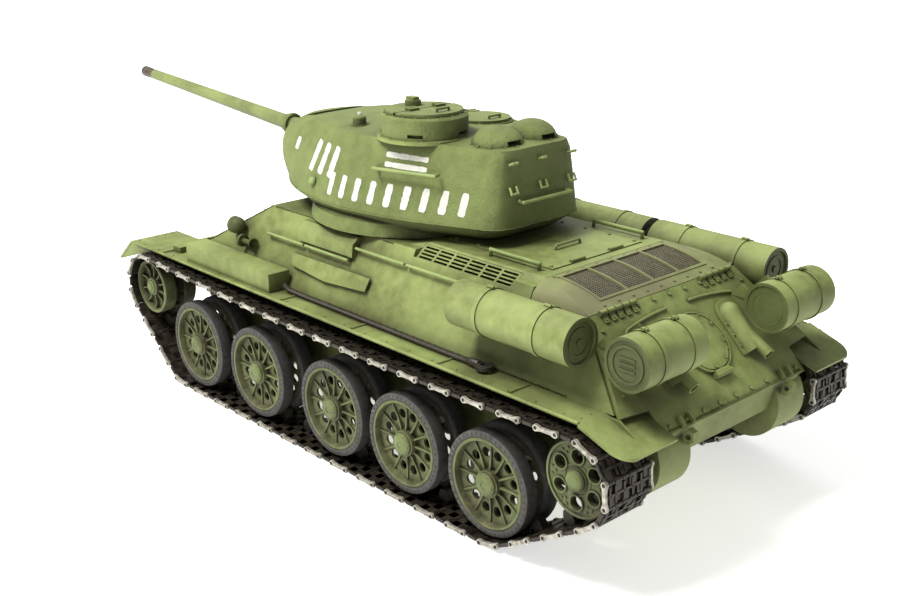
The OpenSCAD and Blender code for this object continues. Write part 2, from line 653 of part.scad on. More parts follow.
module horn() {
    color(paint_dark) translate([66.2, -98, 92.9]) rotate([-90, 0, 0]) rotate_extrude() polygon([
        [0, -4.6], [3.6, -4.6], [3.6, -2.6], [1.5, -2.6], [1.5, 3.4], [3.4, 7.4], [2.9, 7.4], [0.8, 4.4], [0, 4.4]
    ]);
    color(paint_dark) rod_open(on_side(-98, 90.8, 0.1), on_side(-98, 90.8, 3.6), 1);
}
// Point on the hull side at height z, standing out by d
function on_side(y, z, d = 0) = let (a = atan(side_slope))
    [sill_x - (z - fender_z) * side_slope + d * cos(a), y, z + d * sin(a)];
side_rails = [[-83, -51], [-48, -12], [-8, 29], [32, 69]];
module handrails() {
    color(paint) {
        both() for (r = side_rails) {
            z = r[0] < -20 ? 98.6 : 105;
            rail(on_side(r[0], z, 0.3), on_side(r[1], z, 0.3), on_side(0, z, 3) - on_side(0, z, 0.3), 0.8);
        }
        both() rail([37.8, 71, engine_z + 0.05], [37.8, 103, engine_z + 0.05], [0, 0, 3.4], 0.9);
    }
}
// Route of the tow cable along the left fender: from an eye near the stowage box to the rear clevis
cable_route = [
    [74.8, -50, 80.2], [74.6, -46, 78.6], [74.6, -30, 78.3], [74.6, 0, 78.3], [74.8, 30, 78.3],
    [75, 60, 78.3], [75.2, 84, 78.3], [75.2, 95, 78.5]
];
module tow_cable() {
    color("#4c4636") union() {
        for (k = [0:len(cable_route) - 2]) rod(cable_route[k], cable_route[k + 1], 1.45);
        translate([75.2, 94.6, 78.7]) rotate([-90, 0, 0]) cylinder(r = 2.1, h = 7);
        translate([75.2, 105.2, 77.6]) difference() {
            union() {
                cylinder(r = 4.2, h = 2.2);
                box([-1.6, -5, 0], [1.6, -3, 2.2]);
            }
            translate([0, 0, -1]) cylinder(r = 2.2, h = 5);
        }
    }
}
module tow_hooks() {
    color(steel) both() {
        translate([37.9, 0, 0]) tow_hook_rear();
        translate([34, 0, 0]) tow_hook_front();
    }
}
module tow_hook_rear() {
    along_x(-1.7, 1.7) difference() {
        polygon([[190.2, 63.9], [192.2, 65.8], [195.4, 64.6], [195.6, 60.6], [193.2, 58.6], [190, 58.6]]);
        translate([192.6, 62.2]) circle(r = 1.5);
    }
}
module tow_hook_front() {
    along_x(-1.7, 1.7) difference() {
        polygon([[-176.4, 67], [-179.4, 67.6], [-184.8, 64.2], [-184.4, 59.2], [-179.8, 57.8], [-177.3, 59.4], [-178.5, 62]]);
        translate([-181.4, 62.2]) circle(r = 1.6);
    }
}
// Swing arm of one road wheel, with its pivot pin in the hull side and the wheel's axle
module swing_arm(i) {
    y = wheel_y[i];
    color(steel) union() {
        along_x(tub_x + 0.5, tub_x + 6) arm_outline([y + arm_dy, axle_z + arm_dz], [y, axle_z], 5, 4);
        rod_x(tub_x - wall - 1.4, tub_x + 0.7, y + arm_dy, axle_z + arm_dz, 3 - fit);
        rod_x(tub_x + 5, wheel_out_x - 1.6, y, axle_z, axle_r);
    }
}
module idler_axles() {
    color(steel) both() union() {
        rod_x(tub_x - wall, tub_x + 1, idler[0], idler[1], 2.98);
        rod_x(tub_x + 0.02, tub_x + 6, idler[0], idler[1], 6);
        rod_x(tub_x + 5, wheel_out_x - 1.6, idler[0], idler[1], axle_r);
    }
}
module arm_outline(a, b, ra, rb) {
    d = b - a;
    n = [-d[1], d[0]] / norm(d);
    union() {
        translate(a) circle(r = ra);
        translate(b) circle(r = rb);
        polygon([a + n * ra, b + n * rb, b - n * rb, a - n * ra]);
    }
}
module driver_hatch() {
    color(paint) on_glacis() union() {
        box([hatch_hinge[0] - 15, 13, -wall + 0.4], [hatch_hinge[0] + 15, 43, 1.6]);
        box([hatch_hinge[0] - 17, 14.4, 0.35], [hatch_hinge[0] + 17, 45, 1.6]);
        for (x = [-9, 9]) rod_x(hatch_hinge[0] + x - 3.5, hatch_hinge[0] + x + 3.5, 12.4, 1.6, 1.2);
        for (x = [-7, 7]) box([hatch_hinge[0] + x - 4, 20, 1.6], [hatch_hinge[0] + x + 4, 26, 4]);
    }
}

// ---------- inside the hull ----------
module battery() {
    color("royalblue") box([-17, -58, belly_z + 5], [17, 2, belly_z + 27]);
    color("black") rod_x(-3, 3, 5.2, belly_z + 20, 3);
}
module control_board() {
    color("darkgreen") box([-28, 17, belly_z + 8], [28, 96, belly_z + 9.6]);
    color("black") union() {
        box([-1.4, 21, belly_z - 0.6], [1.4, 24, belly_z + 4.2]);
        box([-4, 19.6, belly_z + 4], [4, 25.4, belly_z + 8]);
    }
    color("black") {
        for (x = [-20, 2], y = [42, 66]) box([x, y, belly_z + 9.6], [x + 12, y + 12, belly_z + 12]);
        for (x = [-24, 24], y = [38, 92]) translate([x, y, belly_z + 2.4]) cylinder(r = 2, h = 5.6);
    }
}
module speaker() {
    color("black") translate([0, -106, belly_z + 2.5]) difference() {
        union() {
            cylinder(r = 20, h = 3);
            cylinder(r1 = 17, r2 = 9, h = 12);
            cylinder(r = 9, h = 17);
        }
        translate([0, 0, -1]) cylinder(r1 = 15, r2 = 6, h = 9);
    }
}
module traverse_motor() {
    color(steel) translate([0, traverse_y, 0]) {
        translate([0, 0, 66]) cylinder(r = 9, h = 34);
        difference() {
            box([-16, -10, 100.4], [16, 10, 102.4]);
            translate([0, 0, 99]) cylinder(r = 1.2, h = 5);
        }
        for (x = [-14, 14]) translate([x, 0, 102.4]) cylinder(r = 2, h = deck_z - wall - 102.6);
    }
}
module traverse_pinion() {
    translate([0, traverse_y, 0]) {
        color("goldenrod") translate([0, 0, 103.6]) linear_extrude(5) gear2d(motor_teeth, ring_module, -90 + 180 / motor_teeth, 0.9);
        color(steel) translate([0, 0, 100.3]) cylinder(r = 0.9, h = 8.6);
    }
}

// ---------- turret ----------
// Half outlines of the casting, from the rear middle to the front middle, at several heights
turret_levels = [
    [118, [[0, 59], [16, 59], [24.6, 55.5], [30, 43], [43, 10], [48, -14], [49, -32], [46, -52], [39.5, -72], [31, -88], [22, -98], [11, -104], [0, -105.5]]],
    [125.5, [[0, 69.3], [20, 69.3], [30.5, 65], [36, 53], [50, 16.5], [56, -12], [57, -30], [53.6, -55], [46.6, -76], [38, -92], [28, -105], [14, -112], [0, -114]]],
    [134, [[0, 68.8], [19.6, 68.8], [29.6, 64.6], [34.4, 52], [48.2, 14], [53.8, -12], [54.6, -30], [51, -55], [44.4, -78], [37, -96], [26.6, -113.6], [14, -124], [0, -127]]],
    [143, [[0, 68.1], [19, 68.1], [28.4, 64.2], [32.8, 50.6], [46, 13], [51.2, -12], [51.6, -29], [47.6, -53], [41, -77], [34.4, -96], [25.4, -115], [13.6, -128], [0, -131]]],
    [152, [[0, 67.3], [18.4, 67.3], [27.2, 63.6], [31.2, 49.4], [43.8, 12], [48.6, -11], [48.8, -27], [44.4, -50], [37.6, -74], [31.6, -92], [23.4, -110], [12.4, -122], [0, -125]]],
    [159.4, [[0, 66.6], [17.8, 66.6], [26, 63], [29.8, 48.4], [42, 11], [46.4, -10.6], [46.4, -26], [41.6, -48.6], [34.8, -71], [29.2, -85.6], [21.6, -97], [11.4, -104], [0, -106]]],
    [163.4, [[0, 65.6], [17, 65.6], [24.6, 62], [28.4, 47.4], [40.4, 10.4], [44.8, -10.4], [44.6, -24], [39.8, -46], [33, -68], [27.4, -80], [20, -86], [10.6, -88.6], [0, -89]]]
];
function mirror_ring(h) = concat(h, [for (i = [len(h) - 2:-1:1]) [-h[i][0], h[i][1]]]);
// Smooth closed ring through the outline's points
function smooth_ring(p, k) = let (n = len(p)) [
        for (i = [0:n - 1], j = [0:k - 1]) let (
            a = p[(i + n - 1) % n], b = p[i], c = p[(i + 1) % n], d = p[(i + 2) % n], t = j / k
        ) 0.5 * (2 * b + (c - a) * t + (2 * a - 5 * b + 4 * c - d) * t * t + (3 * b - a - 3 * c + d) * t * t * t)
    ];
function unit(v) = v / norm(v);
function inset_ring(p, d) = d == 0 ? p : let (n = len(p)) [
        for (i = [0:n - 1]) let (t = unit(p[(i + 1) % n] - p[(i + n - 1) % n])) p[i] - d * [-t[1], t[0]]
    ];
// The roof drops slightly towards the gun
function roof_drop(y) = y > -30 ? 0 : 2.4 * pow((-30 - y) / 60, 1.5);
function turret_ring_at(k, d, lift) = let (
        lv = turret_levels[k], flat = inset_ring(smooth_ring(mirror_ring(lv[1]), 2), d), top = k == len(turret_levels) - 1
    ) [for (q = flat) [q[0], q[1], lv[0] + (top ? lift - roof_drop(q[1]) : 0)]];
// The casting is built band by band: each pair of levels spans one convex band
module loft(rings) {
    for (k = [0:len(rings) - 2]) hull() band([rings[k], rings[k + 1]]);
}
module band(rings) {
    n = len(rings[0]);
    m = len(rings);
    pts = [for (r = rings) each r];
    faces = concat(
        [[for (i = [0:n - 1]) i]],
        [for (k = [0:m - 2], i = [0:n - 1]) let (j = (i + 1) % n) [k * n + i, (k + 1) * n + i, (k + 1) * n + j]],
        [for (k = [0:m - 2], i = [0:n - 1]) let (j = (i + 1) % n) [k * n + i, (k + 1) * n + j, k * n + j]],
        [[for (i = [0:n - 1]) (m - 1) * n + n - 1 - i]]
    );
    polyhedron(pts, faces, convexity = 2);
}
module turret_body() {
    loft([for (k = [0:len(turret_levels) - 1]) turret_ring_at(k, 0, 0)]);
}
module turret_cavity() {
    t = 3;
    loft([for (k = [1:len(turret_levels) - 1]) turret_ring_at(k, t, -t)]);
}
module turret_shell() {
    color(paint) difference() {
        union() {
            turret_body();
            translate([0, turret_y, collar_z]) cylinder(r = collar_r, h = lip_z - collar_z - 2, $fn = 96);
        }
        turret_cavity();
        translate([0, turret_y, collar_z - 1]) cylinder(r = ring_hole_r - 0.6, h = 20, $fn = 96);
        gun_slot();
        translate([cupola_at[0], cupola_at[1], roof_z - 8]) cylinder(r = cupola_r - 4.6, h = 20);
        translate([loader_at[0], loader_at[1], roof_z - 8]) cylinder(r = loader_r - 2.6, h = 20);
    }
}
// Room for the mantlet: everything in front of a round lip about the trunnion
module gun_slot() {
    along_x(-slot_x, slot_x) difference() {
        polygon([[-88, 100], [-88, 170], [-160, 170], [-160, 100]]);
        intersection() {
            translate(trunnion) circle(r = 25, $fn = 96);
            polygon([trunnion, trunnion + [-60, -44], [-120, 60], [-60, 60], trunnion + [0, -10]]);
        }
    }
    rod_x(-slot_x, slot_x, trunnion[0], trunnion[1], 17.6);
}
module turret_ring() {
    color(steel) translate([0, turret_y, 0]) difference() {
        union() {
            translate([0, 0, 103.4]) linear_extrude(5.4) gear2d(ring_teeth, ring_module, 90);
            translate([0, 0, 108.8]) cylinder(r = 46.6, h = collar_z - 108.8);
            translate([0, 0, collar_z]) cylinder(r = ring_hole_r - 0.8, h = 3.4, $fn = 96);
        }
        translate([0, 0, 100]) cylinder(r = 42, h = 30, $fn = 96);
    }
}
module cupola() {
    top = roof_z + cupola_h;
    color(paint) translate([cupola_at[0], cupola_at[1], 0]) difference() {
        union() {
            translate([0, 0, roof_z + 0.05]) cylinder(r = cupola_r, h = cupola_h - 2.05, $fn = 72);
            translate([0, 0, top - 2.2]) cylinder(r1 = cupola_r, r2 = cupola_r - 1.2, h = 1.4, $fn = 72);
            intersection() {
                translate([0, 0, top - 1]) cylinder(r = cupola_r - 2.6, h = 1.8);
                box([-30, -30, top - 2], [30, -1.2, top + 5]);
            }
            translate([-2, -11, top + 0.4]) cylinder(r = 4.2, h = 3);
        }
        difference() {
            translate([0, 0, roof_z - 2]) cylinder(r = cupola_r - 4.4, h = cupola_h + 6, $fn = 72);
            box([-30, -30, top - 1.6], [30, -1.2, top + 9]);
        }
        for (i = [0:4]) rotate(36 + 72 * i) box([cupola_r - 6, -4, roof_z + 2.6], [cupola_r + 2, 4, roof_z + 4.4]);
    }
}
module cupola_hatch() {
    top = roof_z + cupola_h;
    color(paint) translate([cupola_at[0], cupola_at[1], 0]) union() {
        intersection() {
            translate([0, 0, top - 0.6]) cylinder(r = cupola_r - 2.6, h = 1.6);
            box([-30, 0.6, top - 3], [30, 30, top + 5]);
        }
        for (x = [-9, 9]) rod_x(x - 3, x + 3, -0.2, top + 1.8, 0.9);
        for (x = [-9, 9]) box([x - 3, -0.2, top + 1], [x + 3, 3, top + 2.2]);
        rail([-4, 14, top + 1], [4, 14, top + 1], [0, 0, 1.6], 0.6);
    }
}
module loader_hatch() {
    color(paint) translate([loader_at[0], loader_at[1], roof_z]) union() {
        translate([0, 0, 1.5]) cylinder(r = loader_r - 1.4, h = 1.4);
        for (x = [-7, 7]) rod_x(x - 3, x + 3, -loader_r + 0.2, 2.6, 1.1);
        for (x = [-7, 7]) box([x - 3, -loader_r + 0.2, 1.5], [x + 3, -loader_r + 4, 3.2]);
        rail([-4, 9, 2.8], [4, 9, 2.8], [0, 0, 1.6], 0.6);
    }
}
module vent_domes() {
    color(paint) union() {
        for (x = [-12.2, 12.2]) translate([x, 49.5, roof_z]) difference() {
            dome(13, 9.6);
            translate([0, 0, -20]) cylinder(r = 30, h = 20.05);
            box([-4.6, 6, 0.6], [4.6, 20, 3.4]);
        }
    }
}
// A dome of radius r and height h
module dome(r, h) {
    steps = 8;
    rotate_extrude() polygon(concat([[0, -0.2], [r, -0.2]], [for (i = [0:steps]) let (a = 90 * i / steps) [r * cos(a), h * sin(a)]]));
}
module turret_fittings() {
    color(paint) {
        // Hatch rim, periscope dome and antenna base on the roof
        translate([loader_at[0], loader_at[1], roof_z + 0.05]) difference() {
            cylinder(r = loader_r, h = 1.3, $fn = 72);
            translate([0, 0, -1]) cylinder(r = loader_r - 2.4, h = 5, $fn = 72);
            box([-12, -loader_r - 2, -1], [12, -loader_r + 2.6, 5]);
        }
        translate([31.5, -35, roof_z + 0.05]) {
            cylinder(r = 4.6, h = 1);
            cylinder(r = 3.6, h = 4.4);
            translate([0, 0, 4.3]) dome(3.5, 1.6);
        }
        // Hooks, loops and rail on the rear face, rails on the sides
        for (x = [-21, 0, 21]) {
            rail([x - 1.6, 68.2, 157.4], [x + 1.6, 68.2, 157.4], [0, 2, 0.8], 0.7);
            rail([x - 2.2, 69, 146.6], [x + 2.2, 69, 146.6], [0, 1.6, -3.4], 0.6);
        }
        rail([-17, 69.4, 139], [17, 69.4, 139], [0, 3.4, -0.4], 0.9);
        both() rail([48.9, 0, 149.6], [38.9, 35, 149.6], [3.3, 0.95, 0], 0.9);
        both() translate([52.8, -50.3, 134.2]) rotate([0, 71, -8]) dome(2.4, 2);
    }
    color("white") translate([28.4, -38.6, roof_z + 1.05]) {
        cylinder(r = 2.5, h = 1);
        cylinder(r = 1.1, h = 5.4);
    }
    color(paint_dark) translate([28.4, -38.6, roof_z + 0.05]) cylinder(r = 3.1, h = 0.95);
}

// ---------- gun ----------
module gun_frame() { translate([0, trunnion[0], trunnion[1]]) rotate([-gun_angle, 0, 0]) children(); }
module mantlet() {
    color(paint) difference() {
        union() {
            intersection() {
                turret_body();
                box([-slot_x + 0.4, -160, 122], [slot_x - 0.4, -97, 161]);
            }
            rod_x(-slot_x + 0.6, slot_x - 0.6, trunnion[0], trunnion[1], 17);
        }
        // Clearance for the shell's lip and for the roof edge
        along_x(-30, 30) difference() {
            intersection() {
                translate(trunnion) circle(r = 26, $fn = 96);
                polygon([trunnion, trunnion + [-60, -22], [-150, 60], [-40, 60], trunnion + [40, -10]]);
            }
            translate(trunnion) circle(r = 17, $fn = 96);
        }
        along_x(-30, 30) polygon([[-60, 162], [-97, 162], [-97, 157.4], [-92, 157], [-60, 150]]);
        rod_x(-slot_x + 4, slot_x - 4, trunnion[0], trunnion[1], 12);
        along_x(-slot_x + 4, slot_x - 4) polygon([trunnion + [-4, -11], trunnion + [30, -20], trunnion + [30, 20], trunnion + [-4, 11]]);
        gun_frame() rotate([90, 0, 0]) translate([0, 0, 5]) cylinder(r = barrel_root_r + 0.02, h = 60);
    }
    // Trunnion pins, and the toothed sector that raises the gun
    color(steel) {
        for (x = [-slot_x - 3, slot_x - 4.4]) rod_x(x, x + 7.4, trunnion[0], trunnion[1], 2.4);
        along_x(9, 12) difference() {
            intersection() {
                translate(trunnion) gear2d(sector_teeth, sector_module, 0, 15);
                polygon([trunnion, trunnion + [40, -26], trunnion + [40, 26]]);
            }
        }
        along_x(9, 12) polygon([trunnion + [11.4, -6], trunnion + [16, -7], trunnion + [16, 7], trunnion + [11.4, 6]]);
    }
}
module gun_barrel() {
    color(paint) gun_frame() rotate([90, 0, 0]) rotate_extrude() polygon([
        [0, 14], [barrel_root_r, 14], [barrel_root_r, 44], [barrel_root_r + 0.6, 44], [barrel_root_r + 0.6, 47], [barrel_root_r - 0.2, 48],
        [barrel_tip_r, gun_length - 7], [barrel_tip_r + 0.25, gun_length - 6.5], [barrel_tip_r + 0.25, gun_length], [2.2, gun_length],
        [2.2, gun_length - 16], [0, gun_length - 16]
    ]);
}
module elevation_motor() {
    color(steel) translate([0, elevation_y, trunnion[1]]) {
        difference() {
            rod_x(-16, 7.6, 0, 0, 6);
            rod_x(5, 8, 0, 0, 1.2);
        }
        box([-10, -3, collar_z + 3.5 - trunnion[1]], [4, 5, -5]);
    }
}
module elevation_pinion() {
    translate([0, elevation_y, trunnion[1]]) {
        color("goldenrod") along_x(8.6, 12.4) gear2d(motor_teeth, sector_module, 180 + 180 / motor_teeth, 0.9);
        color(steel) rod_x(5.2, 12.8, 0, 0, 0.9);
    }
}

// ---------- nodes ----------
module rear_panel() {
    rear_plate();
    access_hatch();
}
module deck_grilles() {
    transmission_cover();
    side_grilles();
}
module tanks() {
    fuel_tanks();
    smoke_drums();
}
module hull_fittings() {
    headlamp();
    horn();
    tow_hooks();
}
module gearboxes() {
    both() gearbox_frame();
    both() drive_motor();
}
module roof_fittings() {
    turret_fittings();
    vent_domes();
}
placed() lower_hull();
placed() battery_door();
placed() upper_hull();
placed() rear_panel();  // rear_plate
placed() deck_grilles();
placed() engine_hatch();
placed() fenders();
placed() side_stowage();
placed() tanks();  // fuel_tanks
placed() exhausts();
placed() hull_fittings();
placed() handrails();
placed() tow_cable();
placed() track();  // track_left
placed() mirror([1, 0, 0]) track();  // track_right
placed() battery();
placed() control_board();
placed() speaker();
placed() gearboxes();
placed() traverse_motor();
placed() driver_hatch();
placed() drive_sprocket();  // sprocket_left
placed() mirror([1, 0, 0]) drive_sprocket();  // sprocket_right
placed() idler_wheel();  // idler_left
placed() mirror([1, 0, 0]) idler_wheel();  // idler_right
placed() swing_arm(0);  // arm_left_1
placed() swing_arm(1);  // arm_left_2
placed() swing_arm(2);  // arm_left_3
placed() swing_arm(3);  // arm_left_4
placed() swing_arm(4);  // arm_left_5
placed() mirror([1, 0, 0]) swing_arm(0);  // arm_right_1
placed() mirror([1, 0, 0]) swing_arm(1);  // arm_right_2
placed() mirror([1, 0, 0]) swing_arm(2);  // arm_right_3
placed() mirror([1, 0, 0]) swing_arm(3);  // arm_right_4
placed() mirror([1, 0, 0]) swing_arm(4);  // arm_right_5
placed() road_wheel(0);  // wheel_left_1
placed() road_wheel(1);  // wheel_left_2
placed() road_wheel(2);  // wheel_left_3
placed() road_wheel(3);  // wheel_left_4
placed() road_wheel(4);  // wheel_left_5
placed() mirror([1, 0, 0]) road_wheel(0);  // wheel_right_1
placed() mirror([1, 0, 0]) road_wheel(1);  // wheel_right_2
placed() mirror([1, 0, 0]) road_wheel(2);  // wheel_right_3
placed() mirror([1, 0, 0]) road_wheel(3);  // wheel_right_4
placed() mirror([1, 0, 0]) road_wheel(4);  // wheel_right_5
placed() reduction_gear();  // reduction_gear_left
placed() mirror([1, 0, 0]) reduction_gear();  // reduction_gear_right
placed() motor_pinion();  // motor_pinion_left
placed() mirror([1, 0, 0]) motor_pinion();  // motor_pinion_right
placed() traverse_pinion();
placed() turret_shell();
placed() turret_ring();
placed() cupola();
placed() cupola_hatch();
placed() loader_hatch();
placed() roof_fittings();  // turret_fittings
placed() mantlet();
placed() gun_barrel();
placed() elevation_motor();
placed() elevation_pinion();
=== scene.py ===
"""Looks of the model tank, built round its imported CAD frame."""
import math
import random

import bmesh
import bpy
from mathutils import Matrix, Vector
from mathutils.bvhtree import BVHTree


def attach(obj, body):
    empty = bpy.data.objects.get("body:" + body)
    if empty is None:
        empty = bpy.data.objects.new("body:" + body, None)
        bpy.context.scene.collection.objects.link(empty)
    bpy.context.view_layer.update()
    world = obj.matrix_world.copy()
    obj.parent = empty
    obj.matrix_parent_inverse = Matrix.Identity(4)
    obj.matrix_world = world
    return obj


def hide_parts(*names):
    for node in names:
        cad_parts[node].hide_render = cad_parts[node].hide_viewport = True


MM = 0.001
Y_SHIFT = 58.6  # mm, from the middle of the road wheels to the middle of the model

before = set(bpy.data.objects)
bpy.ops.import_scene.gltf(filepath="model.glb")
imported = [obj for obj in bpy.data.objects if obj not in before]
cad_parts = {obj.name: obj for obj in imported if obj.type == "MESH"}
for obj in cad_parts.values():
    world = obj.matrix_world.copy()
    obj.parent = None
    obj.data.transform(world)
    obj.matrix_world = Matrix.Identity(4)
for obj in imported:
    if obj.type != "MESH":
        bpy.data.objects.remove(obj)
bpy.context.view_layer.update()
RND = random.Random(7)

# Running gear, mm (y from the middle of the road wheels, z from the ground)
WHEEL_Y = [-122.7, -62.6, 4.7, 61.5, 119.2]
WHEEL_R = 25.7
AXLE_Z = 29.0
PIN_R = 20.0
SPROCKET = (172.2, 51.0)
IDLER = (-172.0, 53.0)
TRACK_W = 31.2
TRACK_X = 93.0 - TRACK_W / 2
LINK_T = 2.6
TRACK_PITCH = 10.9
TRACK_SAG = 4.0
WHEEL_W = 21.6
TYRE_W = (WHEEL_W - 6.2) / 2
RIM_R = WHEEL_R - 3.7
WHEEL_OUT = TRACK_X + WHEEL_W / 2
WHEEL_IN = TRACK_X - WHEEL_W / 2
# A wheel's two discs: which way they face, their outer and inner sides
DISCS = ((1, WHEEL_OUT, WHEEL_OUT - TYRE_W), (-1, WHEEL_IN, WHEEL_IN + TYRE_W))
DISC_R = 17.4
IDLER_R = 16.5

# Hull
FENDER_Z = 76.4
DECK_Z = 113.0
DECK_X = 50.8
SILL_X = 70.2
SIDE_SLOPE = (SILL_X - DECK_X) / (DECK_Z - FENDER_Z)
SIDE_TILT = math.atan(SIDE_SLOPE)
REAR_TOP = (147.6, 108.4)
REAR_LOW = (191.3, 66.0)
ROOF_Z = 163.4
TURRET_Y = -25.0
CUPOLA = (23.5, 8.0)
CUPOLA_R = 22.6
CUPOLA_H = 13.2
LOADER = (-24.0, 2.0)
TRUNNION = (-95.0, 142.0)
GUN_ANGLE = math.radians(4.5)
VENTS = (12.2, 49.5)  # x either side, y

# Engine deck: the transmission cover from front to rear, and the height of its top and the hatch's
COVER_Y0, COVER_Y1 = 112.3, 147.1
COVER_TOP = 115.6
# Axes of the drums across the rear (y, z) and of the side tanks (x, z)
DRUM_Y, DRUM_Z = 182, 100.5
TANK_X, TANK_Z = 72.6, 104.6

UP = (0, 0, 1)
BOX_FACES = [(0, 1, 3, 2), (4, 6, 7, 5), (0, 4, 5, 1), (2, 3, 7, 6), (0, 2, 6, 4), (1, 5, 7, 3)]


# ---------- mesh building ----------
def around(n, a, b, r, turn=0.0):
    """n points evenly round (a, b) at radius r, the first one turned by a part of a step."""
    for k in range(n):
        t = math.tau * (k + turn) / n
        yield a + r * math.cos(t), b + r * math.sin(t)


def resample(pts, step, least=2):
    """The same line with points about step mm apart."""
    pts = [Vector(p) for p in pts]
    out = []
    for a, b in zip(pts, pts[1:]):
        n = max(least, int((b - a).length / step))
        out += [a.lerp(b, i / n) for i in range(n)]
    return out + [pts[-1]]


def shaken(pts, x, y, z):
    """The points moved at random by up to x, y and z."""
    return [p + Vector((RND.uniform(-x, x), RND.uniform(-y, y), RND.uniform(-z, z))) for p in pts]


def curve_point(a, b, c, d, t):
    """A point between b and c, on a smooth curve through all four."""
    return 0.5 * (2 * b + (c - a) * t + (2 * a - 5 * b + 4 * c - d) * t * t
                  + (3 * b - a - 3 * c + d) * t ** 3)


def basis(axis):
    """Two unit vectors across an axis."""
    a = Vector(axis).normalized()
    u = a.cross(Vector((0, 0, 1))) if abs(a.z) < 0.9 else a.cross(Vector((1, 0, 0)))
    u.normalize()
    return u, a.cross(u)


class Shape:
    """Collects solids in millimetres, each face with a material number, and makes one object of them."""

    def __init__(self):
        self.v, self.f, self.m = [], [], []

    def add(self, verts, faces, mat=0):
        n = len(self.v)
        self.v += [Vector(p) for p in verts]
        self.f += [[i + n for i in face] for face in faces]
        self.m += [mat] * len(faces)
        return self

    def box(self, lo, hi, mat=0, at=None):
        (a, b, c), (d, e, g) = lo, hi
        v = [(x, y, z) for x in (a, d) for y in (b, e) for z in (c, g)]
        if at is not None:
            v = [at @ Vector(p) for p in v]
        return self.add(v, BOX_FACES, mat)

    def lathe(self, origin, axis, profile, n=32, mat=0, mats=None):
        """Turns (radius, height) points round an axis. A radius of 0 closes the end."""
        o, a = Vector(origin), Vector(axis).normalized()
        u, w = basis(a)
        rings, v = [], []
        for r, h in profile:
            if r < 1e-6:
                rings.append([len(v)])
                v.append(o + a * h)
            else:
                rings.append(list(range(len(v), len(v) + n)))
                for i in range(n):
                    t = 2 * math.pi * i / n
                    v.append(o + a * h + (u * math.cos(t) + w * math.sin(t)) * r)
        base = len(self.v)
        self.v += v
        for k in range(len(rings) - 1):
            p, q = rings[k], rings[k + 1]
            m = mats[k] if mats else mat
            for i in range(n):
                j = (i + 1) % n
                if len(p) == 1:
                    face = [p[0], q[j], q[i]]
                elif len(q) == 1:
                    face = [p[i], p[j], q[0]]
                else:
                    face = [p[i], p[j], q[j], q[i]]
                self.f.append([x + base for x in face])
                self.m.append(m)
        return self

    def cyl(self, a, b, r, r2=None, n=20, mat=0):
        a, b = Vector(a), Vector(b)
        h = (b - a).length
        r2 = r if r2 is None else r2
        return self.lathe(a, b - a, [(0, 0), (r, 0), (r2, h), (0, h)], n, mat)

    def ring(self, origin, axis, r_in, r_out, h0, h1, n=40, mat=0):
        outline = [(r_in, h0), (r_out, h0), (r_out, h1), (r_in, h1), (r_in, h0)]
        return self.lathe(origin, axis, outline, n, mat)

    def dome(self, origin, axis, r, h, n=20, steps=5, mat=0, sink=0.3):
        prof = [(0, -sink), (r, -sink)]
        prof += [(r * math.cos(math.pi / 2 * i / steps), h * math.sin(math.pi / 2 * i / steps))
                 for i in range(steps)]
        return self.lathe(origin, axis, prof + [(0, h)], n, mat)

    def prism(self, outline, to3d, h0, h1, mat=0):
        """A flat outline pushed from h0 to h1; to3d turns (a, b, h) into a point."""
        n = len(outline)
        v = [to3d(a, b, h) for h in (h0, h1) for a, b in outline]
        f = [list(range(n)), list(range(2 * n - 1, n - 1, -1))]
        f += [[i, n + i, n + (i + 1) % n, (i + 1) % n] for i in range(n)]
        return self.add(v, f, mat)

    def prism_x(self, x0, x1, outline, mat=0):
        return self.prism(outline, lambda a, b, h: (h, a, b), x0, x1, mat)

    def tube(self, pts, r, n=10, mat=0, lobes=0, lobe=0.0, turn=0.0, closed=False):
        """A tube along points. With lobes it is a twisted rope, turning by turn radians per mm."""
        pts = [Vector(p) for p in pts]
        t0 = (pts[1] - pts[0]).normalized()
        u, w = basis(t0)
        v, f, run, m = [], [], 0.0, len(pts)
        for k, p in enumerate(pts):
            if closed:
                t = (pts[(k + 1) % m] - pts[k - 1]).normalized()
            else:
                t = (pts[min(k + 1, m - 1)] - pts[max(k - 1, 0)]).normalized()
            u = (u - t * u.dot(t)).normalized()
            w = t.cross(u)
            if k:
                run += (p - pts[k - 1]).length
            for i in range(n):
                a = 2 * math.pi * i / n + turn * run
                rr = r * (1 + lobe * math.cos(lobes * 2 * math.pi * i / n)) if lobes else r
                v.append(p + (u * math.cos(a) + w * math.sin(a)) * rr)
        for k in range(m if closed else m - 1):
            for i in range(n):
                j, q = (i + 1) % n, (k + 1) % m
                f.append([k * n + i, k * n + j, q * n + j, q * n + i])
        if not closed:
            f.append(list(range(n))[::-1])
            f.append([(m - 1) * n + i for i in range(n)])
        return self.add(v, f, mat)

    def bolt(self, p, axis, r=0.9, h=0.7, mat=0, n=6):
        """A hexagonal head with a chamfered top."""
        return self.lathe(p, axis, [(0, -0.3), (r, -0.3), (r, h * 0.7), (r * 0.72, h), (0, h)], n, mat)

    def rivet(self, p, axis, r=0.8, h=0.5, mat=0):
        return self.dome(p, axis, r, h, 10, 3, mat, 0.2)

    def mirrored(self):
        """Adds the other side's copy."""
        n, faces, mats = len(self.v), [list(x) for x in self.f], list(self.m)
        self.v += [Vector((-p.x, p.y, p.z)) for p in self.v]
        self.f += [[i + n for i in reversed(face)] for face in faces]
        self.m += mats
        return self

    def flipped(self):
        """The mirror image alone."""
        self.v = [Vector((-p.x, p.y, p.z)) for p in self.v]
        self.f = [list(reversed(face)) for face in self.f]
        return self

